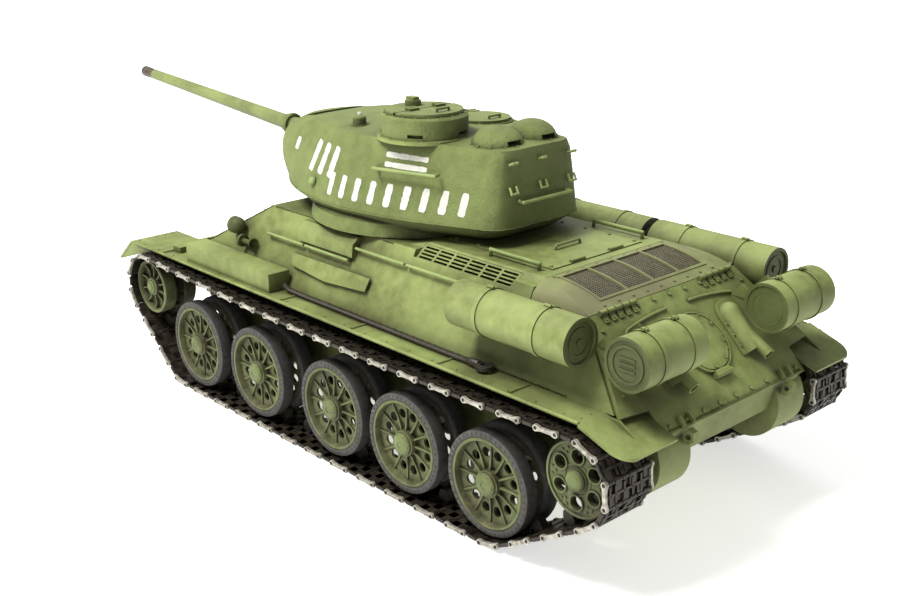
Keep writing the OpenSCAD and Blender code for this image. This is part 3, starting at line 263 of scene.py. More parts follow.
    def make(self, name, body, mats, bevel=0.0, smooth=35, segments=2, replaces=(), side="left"):
        """Makes the object; shapes are drawn for the left side and mirrored for the right."""
        if side == "right":
            self.flipped()
        mesh = bpy.data.meshes.new(name)
        mesh.from_pydata([(p.x * MM, (p.y + Y_SHIFT) * MM, p.z * MM) for p in self.v], [], self.f)
        for m in mats:
            mesh.materials.append(m)
        mesh.polygons.foreach_set("material_index", self.m)
        bm = bmesh.new()
        bm.from_mesh(mesh)
        bmesh.ops.recalc_face_normals(bm, faces=bm.faces)
        bm.to_mesh(mesh)
        bm.free()
        return place(mesh, name, body, bevel, smooth, segments, replaces)


def soft_edges(obj, width, segments, angle, weight):
    """Rounds the edges sharper than angle degrees."""
    bev = obj.modifiers.new("edge", "BEVEL")
    bev.width = width * MM
    bev.segments = segments
    bev.limit_method = "ANGLE"
    bev.angle_limit = math.radians(angle)
    wn = obj.modifiers.new("normals", "WEIGHTED_NORMAL")
    wn.keep_sharp = False
    wn.weight = weight


def place(mesh, name, body, bevel=0.0, smooth=35, segments=2, replaces=()):
    """Makes an object of the mesh, riding on a body and replacing CAD nodes."""
    mesh.shade_smooth()
    mesh.set_sharp_from_angle(angle=math.radians(smooth))
    obj = bpy.data.objects.new(name, mesh)
    bpy.context.scene.collection.objects.link(obj)
    if bevel:
        soft_edges(obj, bevel, segments, 32, 60)
    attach(obj, body)
    if replaces:
        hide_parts(*replaces)
    return obj


def rail_pts(a, b, rise, corner=1.2):
    """Points of a bent rod standing on two feet."""
    a, b, rise = Vector(a), Vector(b), Vector(rise)
    along = (b - a).normalized()
    up = rise.normalized()
    top = rise.length
    pts = [a, a + up * (top - corner)]
    for k in range(1, 4):
        t = math.pi / 2 * k / 4
        pts.append(a + up * (top - corner + corner * math.sin(t)) + along * corner * (1 - math.cos(t)))
    pts.append(a + up * top + along * corner)
    tail = []
    for p in pts:
        d = p - a
        tail.append(b + up * d.dot(up) - along * d.dot(along))
    return pts + tail[::-1]


# ---------- materials ----------
def new_mat(name):
    m = bpy.data.materials.new(name)
    m.use_nodes = True
    nt = m.node_tree
    nt.nodes.clear()
    out = nt.nodes.new("ShaderNodeOutputMaterial")
    bsdf = nt.nodes.new("ShaderNodeBsdfPrincipled")
    nt.links.new(bsdf.outputs[0], out.inputs[0])
    return m, nt, bsdf


def noise_node(nt, scale, detail=3.0, rough=0.55, coord=None):
    tex = nt.nodes.new("ShaderNodeTexNoise")
    tex.inputs["Scale"].default_value = scale
    tex.inputs["Detail"].default_value = detail
    tex.inputs["Roughness"].default_value = rough
    if coord is None:
        coord = nt.nodes.new("ShaderNodeTexCoord").outputs["Object"]
    nt.links.new(coord, tex.inputs["Vector"])
    return tex.outputs["Fac"]


def ramp(nt, value, stops):
    node = nt.nodes.new("ShaderNodeValToRGB")
    els = node.color_ramp.elements
    while len(els) < len(stops):
        els.new(0.5)
    for e, (p, c) in zip(els, stops):
        e.position = p
        e.color = (c, c, c, 1) if isinstance(c, (int, float)) else (*c, 1)
    nt.links.new(value, node.inputs["Fac"])
    return node.outputs["Color"]


def mix(nt, fac, a, b, mode="MIX"):
    node = nt.nodes.new("ShaderNodeMix")
    node.data_type = "RGBA"
    node.blend_type = mode
    for key, val in (("Factor", fac), ("A", a), ("B", b)):
        sock = [s for s in node.inputs if s.name == key
                and (s.type == "RGBA" or key == "Factor" and s.type == "VALUE")][0]
        if hasattr(val, "is_output"):
            nt.links.new(val, sock)
        else:
            sock.default_value = val if isinstance(val, (int, float)) else (*val, 1)
    return [s for s in node.outputs if s.type == "RGBA"][0]


def maths(nt, op, a, b=0.0, clamp=False):
    node = nt.nodes.new("ShaderNodeMath")
    node.operation = op
    node.use_clamp = clamp
    for sock, val in zip(node.inputs, (a, b)):
        if hasattr(val, "is_output"):
            nt.links.new(val, sock)
        else:
            sock.default_value = val
    return node.outputs[0]


def bump(nt, bsdf, height, strength, distance):
    node = nt.nodes.new("ShaderNodeBump")
    node.inputs["Strength"].default_value = strength
    node.inputs["Distance"].default_value = distance * MM
    nt.links.new(height, node.inputs["Height"])
    nt.links.new(node.outputs[0], bsdf.inputs["Normal"])


def crease(nt, distance, lo, hi):
    """An ambient-occlusion mask for painted shade: 1 in corners and gaps, 0 on open faces."""
    ao = nt.nodes.new("ShaderNodeAmbientOcclusion")
    ao.samples = 6
    ao.inputs["Distance"].default_value = distance * MM
    return ramp(nt, ao.outputs["AO"], [(lo, 1.0), (hi, 0.0)])


def paint_mat(name, base, dark, light, shade_colour=(0.055, 0.054, 0.018), shade_strength=0.9, cast=0.0, rough=0.62,
              dust=0.35, smoke=0.0):
    """Sprayed paint: soft patches and pale speckle of noise, painted shade in corners and creases and on
    faces turned to the rear or downwards, soot haze where smoke is given, dust low down.
    """
    m, nt, bsdf = new_mat(name)
    coord = nt.nodes.new("ShaderNodeTexCoord").outputs["Object"]
    patches = ramp(nt, noise_node(nt, 24, 3, 0.55, coord), [(0.36, 0.0), (0.62, 1.0)])
    fine = ramp(nt, noise_node(nt, 190, 5, 0.7, coord), [(0.35, 0.0), (0.7, 1.0)])
    col = mix(nt, patches, dark, base)
    col = mix(nt, maths(nt, "MULTIPLY", fine, 0.35), col, light)
    # Painted shade: the colour goes towards the shade colour in corners and creases, found by ambient
    # occlusion.
    wide = maths(nt, "MULTIPLY", crease(nt, 26, 0.5, 1.0), 0.85 * shade_strength)
    tight = maths(nt, "MULTIPLY", crease(nt, 5, 0.3, 0.92), shade_strength)
    shade_mix = maths(nt, "MAXIMUM", wide, tight)
    shade_mix = maths(nt, "MULTIPLY", shade_mix, maths(nt, "ADD", maths(nt, "MULTIPLY", patches, -0.3), 1.1), True)
    # Painted shade on faces turned to the rear or downwards, away from the lamps.
    side = nt.nodes.new("ShaderNodeSeparateXYZ")
    nt.links.new(nt.nodes.new("ShaderNodeTexCoord").outputs["Normal"], side.inputs[0])
    rear = maths(nt, "MULTIPLY", maths(nt, "SUBTRACT", side.outputs["Y"], 0.76), 2.6, True)
    under = maths(nt, "MULTIPLY", side.outputs["Z"], -0.7, True)
    facing_shade = maths(nt, "MULTIPLY", maths(nt, "MAXIMUM", rear, under), 0.75 * shade_strength, True)
    shade_mix = maths(nt, "MAXIMUM", shade_mix, facing_shade)
    # Soot stains: patches of noise, mixed in with the same colour as the painted shade.
    if smoke:
        haze = ramp(nt, noise_node(nt, 22, 3, 0.5, coord), [(0.42, 0.0), (0.62, smoke)])
        shade_mix = maths(nt, "MAXIMUM", shade_mix, haze)
    # Mixes the painted shade, and any soot, into the paint.
    col = mix(nt, shade_mix, col, shade_colour)
    sep = nt.nodes.new("ShaderNodeSeparateXYZ")
    nt.links.new(coord, sep.inputs[0])
    low = ramp(nt, maths(nt, "MULTIPLY", sep.outputs["Z"], 10.0), [(0.1, 1.0), (0.78, 0.0)])
    low = maths(nt, "MULTIPLY", low, maths(nt, "MULTIPLY", fine, dust), True)
    col = mix(nt, low, col, (0.30, 0.26, 0.16))
    nt.links.new(col, bsdf.inputs["Base Color"])
    rr = maths(nt, "ADD", maths(nt, "MULTIPLY", fine, 0.16), rough - 0.06)
    nt.links.new(rr, bsdf.inputs["Roughness"])
    bsdf.inputs["Specular IOR Level"].default_value = 0.35
    grain = noise_node(nt, 900, 3, 0.6, coord)
    if cast:
        lumps = noise_node(nt, 420, 6, 0.78, coord)
        grain = maths(nt, "ADD", maths(nt, "MULTIPLY", grain, 0.5), lumps)
        bump(nt, bsdf, grain, cast, 1.0)
    else:
        bump(nt, bsdf, grain, 0.22, 0.15)
    return m


def plain_mat(name, base, dark, rough=0.6, metal=0.0, scale=220, strength=0.3, depth=0.2, shade_mix=0.5,
              shade_colour=(0.05, 0.04, 0.03)):
    m, nt, bsdf = new_mat(name)
    coord = nt.nodes.new("ShaderNodeTexCoord").outputs["Object"]
    n = ramp(nt, noise_node(nt, scale, 5, 0.65, coord), [(0.35, 0.0), (0.68, 1.0)])
    col = mix(nt, n, dark, base)
    # Painted shade: darker towards the shade colour in creases, found by ambient occlusion.
    if shade_mix:
        col = mix(nt, maths(nt, "MULTIPLY", crease(nt, 4, 0.3, 0.9), shade_mix), col, shade_colour)
    nt.links.new(col, bsdf.inputs["Base Color"])
    nt.links.new(maths(nt, "ADD", maths(nt, "MULTIPLY", n, 0.18), rough - 0.09), bsdf.inputs["Roughness"])
    bsdf.inputs["Metallic"].default_value = metal
    bump(nt, bsdf, noise_node(nt, scale * 3.5, 3, 0.6, coord), strength, depth)
    return m


PAINT = paint_mat("paint_green", (0.230, 0.290, 0.088), (0.135, 0.165, 0.045), (0.40, 0.45, 0.18))
CAST = paint_mat("paint_cast", (0.195, 0.250, 0.076), (0.130, 0.170, 0.046), (0.31, 0.36, 0.135), cast=1.0)
SMOKED = paint_mat("paint_smoked", (0.235, 0.275, 0.095), (0.155, 0.175, 0.062), (0.36, 0.39, 0.18),
                   shade_colour=(0.135, 0.115, 0.072), smoke=0.62)
RAIL = paint_mat("paint_rail", (0.28, 0.36, 0.125), (0.20, 0.27, 0.085), (0.38, 0.46, 0.19), shade_strength=0.5)
# The running gear's paint: a darker copy of the green as painted shade for the shade under the fenders, with
# stronger painted shade in its creases.
WHEEL_SHADED = paint_mat("paint_wheel_shaded", (0.120, 0.165, 0.048), (0.060, 0.078, 0.024), (0.22, 0.27, 0.10),
                  shade_colour=(0.028, 0.026, 0.010), shade_strength=1.25)
# Darker green of the drum and tank ends, their rings and the dark fittings: partly the paint's own darker
# tone, partly painted shade on the ends turned away from the lamps.
DARK_SHADED = paint_mat("paint_dark_green_shaded", (0.080, 0.104, 0.030), (0.050, 0.064, 0.018), (0.14, 0.17, 0.06))
GUN = paint_mat("paint_gun", (0.215, 0.270, 0.090), (0.135, 0.165, 0.058), (0.30, 0.36, 0.14), rough=0.55)
# Black as painted shade: the hollow under the transmission cover's mesh and the holes in the pin ends.
SHADE_BLACK = plain_mat("shade_black_inside", (0.012, 0.012, 0.012), (0.02, 0.018, 0.015), 0.8, shade_mix=0)
TRACK = plain_mat("track_iron", (0.055, 0.042, 0.030), (0.020, 0.016, 0.012), 0.46, 0.5, 260, 0.5, 0.4, 0.8,
                  (0.010, 0.008, 0.006))
LINK_END = plain_mat("link_ends", (0.55, 0.53, 0.47), (0.17, 0.155, 0.12), 0.42, 0.35, 300, 0.3, 0.2, 0.8,
                     (0.10, 0.08, 0.05))
TYRE = plain_mat("tyre_rubber", (0.100, 0.092, 0.086), (0.050, 0.046, 0.042), 0.85, 0.0, 240, 0.5, 0.4, 0.6)
TREAD = plain_mat("tyre_tread", (0.022, 0.021, 0.02), (0.04, 0.038, 0.034), 0.8, 0.0, 300, 0.5, 0.4, 0.3)
STEEL = plain_mat("bare_steel", (0.42, 0.41, 0.39), (0.28, 0.27, 0.25), 0.36, 0.9, 260, 0.2, 0.1, 0.4)
ROPE = plain_mat("wire_rope", (0.075, 0.066, 0.05), (0.035, 0.03, 0.024), 0.5, 0.6, 500, 0.4, 0.2, 0.7)
MUZZLE = plain_mat("burnt_muzzle", (0.13, 0.10, 0.075), (0.07, 0.055, 0.045), 0.5, 0.3, 260, 0.3, 0.2, 0.2)
WHITE = plain_mat("hand_painted_white", (0.78, 0.77, 0.72), (0.62, 0.61, 0.55), 0.55, 0.0, 260, 0.2, 0.1, 0.3)
GLASS = plain_mat("lamp_glass", (0.55, 0.60, 0.60), (0.45, 0.5, 0.5), 0.15, 0.3, 60, 0.0, 0.1, 0.2)
IVORY = plain_mat("gear_nylon", (0.68, 0.64, 0.52), (0.60, 0.56, 0.44), 0.4, 0.0, 120, 0.1, 0.1, 0.3)
BRASS = plain_mat("brass", (0.62, 0.43, 0.15), (0.5, 0.34, 0.11), 0.3, 1.0, 300, 0.1, 0.1, 0.4)
WRAP = plain_mat("battery_wrap", (0.03, 0.08, 0.32), (0.025, 0.06, 0.25), 0.3, 0.0, 60, 0.1, 0.1, 0.3)
BOARD = plain_mat("circuit_board", (0.015, 0.13, 0.05), (0.01, 0.10, 0.04), 0.4, 0.0, 400, 0.3, 0.1, 0.4)
PLASTIC = plain_mat("black_plastic", (0.025, 0.025, 0.025), (0.018, 0.018, 0.018), 0.5, 0.0, 200, 0.2, 0.1,
                    0.3)
MESH = plain_mat("wire_mesh", (0.26, 0.24, 0.155), (0.16, 0.145, 0.09), 0.55, 0.3, 260, 0.3, 0.2, 0.5)


# ---------- CAD nodes: own materials and soft edges ----------
def dress(node, mats, bevel, pick=None):
    """Gives a CAD node its materials and rounded edges.

    pick(centre, normal), in mm, chooses a face's material.
    """
    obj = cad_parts[node]
    mesh = obj.data
    mesh.materials.clear()
    for m in mats:
        mesh.materials.append(m)
    idx = [0] * len(mesh.polygons)
    if pick:
        for i, p in enumerate(mesh.polygons):
            c = p.center / MM
            idx[i] = pick(Vector((c.x, c.y - Y_SHIFT, c.z)), p.normal)
    mesh.polygons.foreach_set("material_index", idx)
    weld = obj.modifiers.new("weld", "WELD")
    weld.merge_threshold = 0.00002
    if bevel:
        soft_edges(obj, bevel, 2, 30, 50)
    for p in mesh.polygons:
        p.use_smooth = True
    return obj


# ---------- tracks ----------
def belt_points():
    """Pins of one track, as (y, z): round four circles with a sagging top run."""
    pz = LINK_T / 2
    belt = [(*SPROCKET, PIN_R), (WHEEL_Y[4], AXLE_Z, AXLE_Z - pz), (-138.7, pz + 12, 12.0), (*IDLER, PIN_R)]

    def dist(a, b):
        return math.hypot(b[0] - a[0], b[1] - a[1])

    def normal(i):
        a, b = belt[i], belt[(i + 1) % 4]
        return math.atan2(b[1] - a[1], b[0] - a[0]) + math.acos((a[2] - b[2]) / dist(a, b))

    def on(c, a):
        return Vector((c[0] + c[2] * math.cos(a), c[1] + c[2] * math.sin(a)))

    runs = []
    for i in range(4):
        turn = (normal(i - 1) - normal(i)) % (2 * math.pi)
        a, b = belt[i], belt[(i + 1) % 4]
        runs.append((a[2] * turn, i, "arc", turn))
        runs.append((math.sqrt(dist(a, b) ** 2 - (a[2] - b[2]) ** 2), i, "line", 0))
    total = sum(r[0] for r in runs)
    count = 2 * round(total / TRACK_PITCH / 2)
    pitch = total / count
    pts = []
    for k in range(count):
        s = pitch * (k + 0.25)
        for length, i, kind, turn in runs:
            if s <= length or (i == 3 and kind == "line"):
                break
            s -= length
        t = s / length
        if kind == "arc":
            pts.append(on(belt[i], normal(i - 1) - turn * t))
        else:
            n = normal(i)
            p, q = on(belt[i], n), on(belt[(i + 1) % 4], n)
            p = p + (q - p) * t
            if i == 3:
                p.y -= 4 * TRACK_SAG * t * (1 - t)
            pts.append(p)
    return pts


def link(s, a, b, horned):
    """One cast link between two pins, with its pin ends."""
    a, b = Vector(a), Vector(b)
    t = (b - a)
    ln = t.length
    t /= ln
    n = Vector((-t.y, t.x))
    if n.dot(Vector((0, 45)) - (a + b) / 2) < 0:
        n = -n

    def pt(u, w, h):  # along the belt, inwards, across
        p = a + t * u + n * w
        return (TRACK_X + h, p.x, p.y)

    def slab(u0, u1, w0, w1, h0, h1):
        s.add([pt(u, w, h) for u in (u0, u1) for w in (w0, w1) for h in (h0, h1)], BOX_FACES)

    half = TRACK_W / 2
    in_w = half - 1.9
    g = 0.4
    slab(g + 0.9, ln - g - 0.9, -0.15, 0.75, -in_w, in_w)
    # Hinge knuckles at both pins, interleaved with the next link's
    for u, spans in ((0.0, ((-13.6, -9), (-4.4, 0), (4.8, 9.2))),
                     (ln, ((-8.6, -4.8), (0.4, 4.4), (9.6, 13.6)))):
        for h0, h1 in spans:
            s.prism(list(around(10, u, 0, 1.25)), pt, h0, h1)
            slab(min(u, ln / 2), max(u, ln / 2), -0.9, 0.75, h0, h1)
    # Cast waffle on the ground side
    for h in (-12.6, -7.2, -1.8, 3.6, 9.0, 12.6) if horned else (-12.6, -9.9, -4.5, 0.9, 6.3, 12.6):
        slab(1.5, ln - 1.5, -1.3, -0.1, h - 0.6, h + 0.6)
    slab(ln / 2 - 0.6, ln / 2 + 0.6, -1.3, -0.1, -in_w, in_w)
    if horned:
        top, foot = 7.4, 0.6
        prof = [(ln / 2 - 3.9, foot), (ln / 2 + 3.9, foot), (ln / 2 + 2.6, 5.4), (ln / 2 + 1.5, top),
                (ln / 2 - 1.5, top), (ln / 2 - 2.6, 5.4)]
        s.prism(prof, pt, -2.2, 2.2)
        for u in (ln / 2 - 4.3, ln / 2 + 3.1):
            slab(u, u + 1.2, 0.6, 2.2, -3.4, 3.4)
        # Pale plates over the pin ends
        for sign in (-1, 1):
            h0, h1 = sorted((sign * (half - 1.7), sign * (half - 0.15)))
            out = []
            for cx, a0, waist in ((ln, -90, 1), (0, 90, -1)):
                out += [(cx + 1.6 * math.cos(math.radians(a0 + 30 * k)),
                         1.6 * math.sin(math.radians(a0 + 30 * k))) for k in range(7)]
                out += [(ln / 2 + waist * u, waist * 0.85) for u in (2.9, -2.9)]
            s.prism(out, pt, h0, h1, 1)
            for u in (0, ln):
                ax = Vector((sign, 0, 0))
                # Pin ends: the hole in the middle is black, painted shade.
                s.lathe(pt(u, 0, sign * (half - 0.15)), ax,
                        [(0, 0.02), (0.55, 0.02), (0.55, 0.15), (0.85, 0.15), (0.85, -0.2)], 10, 0,
                        mats=[2, 2, 0, 0])
    else:
        for sign in (-1, 1):
            h0, h1 = sorted((sign * (half - 2.0), sign * (half - 0.9)))
            slab(2.7, ln - 2.7, -0.8, 0.8, h0, h1)


def build_tracks():
    pins = belt_points()
    for side in ("left", "right"):
        s = Shape()
        for k in range(len(pins)):
            link(s, pins[k], pins[(k + 1) % len(pins)], k % 2 == 0)
        s.make(f"track_links_{side}", "hull", [TRACK, LINK_END, SHADE_BLACK], bevel=0.22, segments=1,
               replaces=[f"track_{side}"], side=side)


# ---------- wheels ----------
def ribs(s, o, face, count, pts, half):
    """Radial ribs round a disc; pts are the (radius, height) outline of one."""
    for k in range(count):
        m = Matrix.Translation(Vector(o)) @ Matrix.Rotation(math.tau * k / count, 4, "X")
        s.prism(pts, lambda r, h, u: m @ Vector((face * h, u, r)), -half, half)


def build_wheel(name, body, y, side, node):
    """Road wheel: two dished discs with ribs and holes, rubber tyres and a bolted hub."""
    s = Shape()
    for face, x_out, x_in in DISCS:
        axis = (face, 0, 0)
        o = (x_in, y, AXLE_Z)
        w = TYRE_W
        # tyre
        r, q = WHEEL_R, RIM_R
        s.lathe(o, axis, [(q, 0.2), (r - 1.0, 0.2), (r - 0.25, 0.7), (r, 1.4), (r, w - 1.2),
                          (r - 0.25, w - 0.5), (r - 1.1, w), (q + 0.9, w),
                          (q + 0.6, w - 0.35), (q, w - 0.35), (q, 0.2)], 64, 1,
                mats=[1, 2, 2, 2, 2, 1, 1, 1, 1, 1])
        # notches round the tyre's side
        for k in range(48):
            t = math.tau * k / 48
            m = Matrix.Translation(Vector(o)) @ Matrix.Rotation(t, 4, "X")
            h = sorted((face * (w - 0.25), face * (w + 0.12)))
            s.box((h[0], -0.3, q + 1.2), (h[1], 0.3, r - 1.1), 2, at=m)
        # rim
        s.lathe(o, axis, [(q, 0), (q, w - 0.2), (q - 0.5, w + 0.1), (q - 1.3, w - 0.1), (q - 1.6, w - 1.3),
                          (q - 2.0, 4.3), (q - 1.9, 2.4), (q - 1.6, 0), (q, 0)], 64, 0)
        # dished web with holes: a ring of cells, each a frame round a hole
        web(s, o, axis, 12, 6.3, q - 1.8, 3.4, 4.2, 2.45, 14.4, 1.3)
        # ribs between the holes
        ribs(s, o, face, 12, [(6.0, 3.2), (q - 1.6, 3.9), (q - 1.6, 5.0), (14.0, 4.7), (8.6, 5.2),
                              (6.0, 5.7)], 0.45)
        # hub
        s.lathe(o, axis, [(2.4, 0.5), (6.6, 0.5), (6.6, w - 1.1), (6.0, w - 0.6), (5.2, w - 0.5),
                          (5.2, w - 0.3), (2.4, w - 0.3), (2.4, 0.5)], 32, 0)
        if face > 0:
            top = (x_out, y, AXLE_Z)
            s.lathe(top, axis, [(0, -1.0), (6.6, -1.0), (6.6, -0.6), (5.9, -0.5), (5.8, 0.5), (5.2, 1.2),
                                (3.9, 1.7), (1.6, 2.0), (1.5, 1.8), (0, 1.8)], 32, 0)
            for by, bz in around(6, y, AXLE_Z, 4.9):
                s.bolt((x_out + 0.9, by, bz), axis, 0.45, 0.6)
    # inner drum between the discs
    s.ring((WHEEL_IN + TYRE_W - 0.4, y, AXLE_Z), (1, 0, 0), 2.4, 6.0, 0, WHEEL_W - 2 * TYRE_W + 0.8, 32, 0)
    s.make(name, body, [WHEEL_SHADED, TYRE, TREAD], smooth=32, replaces=[node], side=side)


def web(s, o, axis, cells, r_in, r_out, h_in, h_out, hole_r, hole_at, thick):
    """A conical ring pierced by round holes, with real thickness."""
    o, a = Vector(o), Vector(axis).normalized()
    u, w = basis(a)

    def pt(r, ang, back):
        h = h_in + (h_out - h_in) * (r - r_in) / (r_out - r_in)
        return o + a * (h - back) + (u * math.cos(ang) + w * math.sin(ang)) * r

    nb = 16
    step = 2 * math.pi / cells
    off = math.atan2(w.dot(Vector((0, 0, 1))), u.dot(Vector((0, 0, 1)))) + step / 2
    for c in range(cells):
        mid = off + step * c
        outer, inner = [], []
        for k in range(nb):
            t = math.tau * k / nb
            # the cell's edge in polar form: a rounded square of (radius, angle)
            cr, ca = math.cos(t), math.sin(t)
            q = max(abs(cr), abs(ca))
            er, ea = cr / q, ca / q
            rr = (r_in + r_out) / 2 + er * (r_out - r_in) / 2
            outer.append((rr, mid + ea * step / 2))
            y, z = hole_at + hole_r * math.cos(t), hole_r * math.sin(t)
            inner.append((math.hypot(y, z), mid + math.atan2(z, y)))
        v = []
        for back in (0, thick):
            v += [pt(r, t, back) for r, t in outer] + [pt(r, t, back) for r, t in inner]
        f = []
        for k in range(nb):
            j = (k + 1) % nb
            f.append([k, j, nb + j, nb + k])
            f.append([2 * nb + k, 3 * nb + k, 3 * nb + j, 2 * nb + j])
            f.append([nb + k, nb + j, 3 * nb + j, 3 * nb + k])
            f.append([k, 2 * nb + k, 2 * nb + j, j])
        s.add(v, f)


def build_idler(side):
    s = Shape()
    y, z = IDLER
    for face, x_out, x_in in DISCS:
        axis, o, w, q = (face, 0, 0), (x_in, y, z), TYRE_W, IDLER_R
        s.lathe(o, axis, [(q, 0), (q, w - 0.5), (q - 0.6, w), (q - 1.6, w), (q - 2.1, w - 0.8),
                          (q - 2.3, 3.6), (q - 2.1, 0), (q, 0)], 56, 0)
        web(s, o, axis, 10, 5.2, q - 2.2, 3.2, 3.6, 1.4, 10.0, 1.2)
        ribs(s, o, face, 10, [(5.0, 3.0), (q - 2.0, 3.2), (q - 2.0, 6.2), (10, 5.0), (5.0, 6.0)], 0.4)
        s.lathe(o, axis, [(2.4, 0.5), (5.4, 0.5), (5.4, w - 0.6), (4.9, w - 0.2), (2.4, w - 0.2),
                          (2.4, 0.5)], 28, 0)
        if face > 0:
            s.lathe((x_out, y, z), axis, [(0, -0.5), (4.2, -0.5), (4.2, 0.2), (3.8, 0.6), (2.7, 0.8),
                                          (2.4, 1.3), (0, 1.7)], 24, 0)
            for by, bz in around(6, y, z, 3.3):
                s.bolt((x_out + 0.3, by, bz), axis, 0.42, 0.45)
    s.ring((WHEEL_IN + TYRE_W - 0.4, y, z), (1, 0, 0), 2.4, 5.0, 0, WHEEL_W - 2 * TYRE_W + 0.8, 28, 0)
    s.make(f"idler_wheel_{side}", f"idler_{side}", [WHEEL_SHADED], smooth=32, replaces=[f"idler_{side}"], side=side)


def build_sprocket(side):
    """Raised hole rims, rim flange and bolt clusters on the outer and inner discs."""
    s = Shape()
    y, z = SPROCKET
    for face, x in ((1, WHEEL_OUT - 1.6), (-1, WHEEL_IN + 1.6)):
        axis = (face, 0, 0)
        s.ring((x, y, z), axis, DISC_R - 1.3, DISC_R - 0.05, -0.2, 0.75, 56)
        s.ring((x, y, z), axis, 6.6, 7.4, -0.2, 0.35, 40)
        for k in range(6):
            t = math.tau * k / 6
            cy, cz = y - 10.8 * math.sin(t), z + 10.8 * math.cos(t)
            s.ring((x, cy, cz), axis, 3.12, 3.95, -0.2, 0.85, 24)
            for da in (-7, 7):
                t2 = t + math.pi / 6 + math.radians(da)
                s.bolt((x, y - 14.2 * math.sin(t2), z + 14.2 * math.cos(t2)), axis, 0.6, 0.6)
            t2 = t + math.pi / 6
            s.bolt((x, y - 12.2 * math.sin(t2), z + 12.2 * math.cos(t2)), axis, 0.6, 0.6)
    for by, bz in around(6, y, z, 4.6, 0.5):
        s.bolt((WHEEL_OUT - 0.8, by, bz), (1, 0, 0), 0.5, 0.8)
    s.make(f"sprocket_trim_{side}", f"sprocket_{side}", [WHEEL_SHADED], bevel=0.12, segments=1, side=side)


# ---------- turret ----------
LEVELS = [
    (118.0, [(0, 59), (16, 59), (24.6, 55.5), (30, 43), (43, 10), (48, -14), (49, -32),
             (46, -52), (39.5, -72), (31, -88), (22, -98), (11, -104), (0, -105.5)]),
    (125.5, [(0, 69.3), (20, 69.3), (30.5, 65), (36, 53), (50, 16.5), (56, -12), (57, -30),
             (53.6, -55), (46.6, -76), (38, -92), (28, -105), (14, -112), (0, -114)]),
    (134.0, [(0, 68.8), (19.6, 68.8), (29.6, 64.6), (34.4, 52), (48.2, 14), (53.8, -12), (54.6, -30),
             (51, -55), (44.4, -78), (37, -96), (26.6, -113.6), (14, -124), (0, -127)]),
    (143.0, [(0, 68.1), (19, 68.1), (28.4, 64.2), (32.8, 50.6), (46, 13), (51.2, -12), (51.6, -29),
             (47.6, -53), (41, -77), (34.4, -96), (25.4, -115), (13.6, -128), (0, -131)]),
    (152.0, [(0, 67.3), (18.4, 67.3), (27.2, 63.6), (31.2, 49.4), (43.8, 12), (48.6, -11), (48.8, -27),
             (44.4, -50), (37.6, -74), (31.6, -92), (23.4, -110), (12.4, -122), (0, -125)]),
    (159.4, [(0, 66.6), (17.8, 66.6), (26, 63), (29.8, 48.4), (42, 11), (46.4, -10.6), (46.4, -26),
             (41.6, -48.6), (34.8, -71), (29.2, -85.6), (21.6, -97), (11.4, -104), (0, -106)]),
    (163.4, [(0, 65.6), (17, 65.6), (24.6, 62), (28.4, 47.4), (40.4, 10.4), (44.8, -10.4), (44.6, -24),
             (39.8, -46), (33, -68), (27.4, -80), (20, -86), (10.6, -88.6), (0, -89)]),
]


def spline_ring(half, k):
    """Closed ring through a half outline and its mirror image, with k steps a span."""
    p = [Vector(q) for q in half] + [Vector((-x, y)) for x, y in half[-2:0:-1]]
    n, out = len(p), []
    for i in range(n):
        a, b, c, d = p[i - 1], p[i], p[(i + 1) % n], p[(i + 2) % n]
        for j in range(k):
            out.append(curve_point(a, b, c, d, j / k))
    return out


def roof_z(y):
    """Height of the roof: it drops a little towards the gun."""
    drop = 0.0 if y > -30 else 2.4 * ((-30 - y) / 60) ** 1.5
    return ROOF_Z - drop


def turret_rings(k=4):
    """Rings of the casting's skin, from the lower edge of the undercut to the roof."""
    rings = []
    for i, (z, half) in enumerate(LEVELS):
        ring = spline_ring(half, k)
        top = i == len(LEVELS) - 1
        rings.append([Vector((q.x, q.y, roof_z(q.y) if top else z)) for q in ring])
    return rings


def turret_skin(rings, per=3):
    """Smooths between the levels with a spline in height, keeping the widest edge fairly sharp."""
    out = [rings[0]]
    n = len(rings)
    for i in range(n - 1):
        a, b, c, d = rings[max(i - 1, 0)], rings[i], rings[i + 1], rings[min(i + 2, n - 1)]
        for j in range(1, per + 1):
            t = j / per
            if i == 0 or i == n - 2:
                out.append([q + (r - q) * t for q, r in zip(b, c)])
                continue
            if i == 1:
                a = [q + (q - r) for q, r in zip(b, c)]
            if i == n - 3:
                d = [r + (r - q) for q, r in zip(b, c)]
            out.append([curve_point(*four, t) for four in zip(a, b, c, d)])
    return out


# The gun's slot in the casting: half width, rear edge and lower edge
SLOT_X, SLOT_Y, SLOT_Z = 20.4, -88.4, 123.4


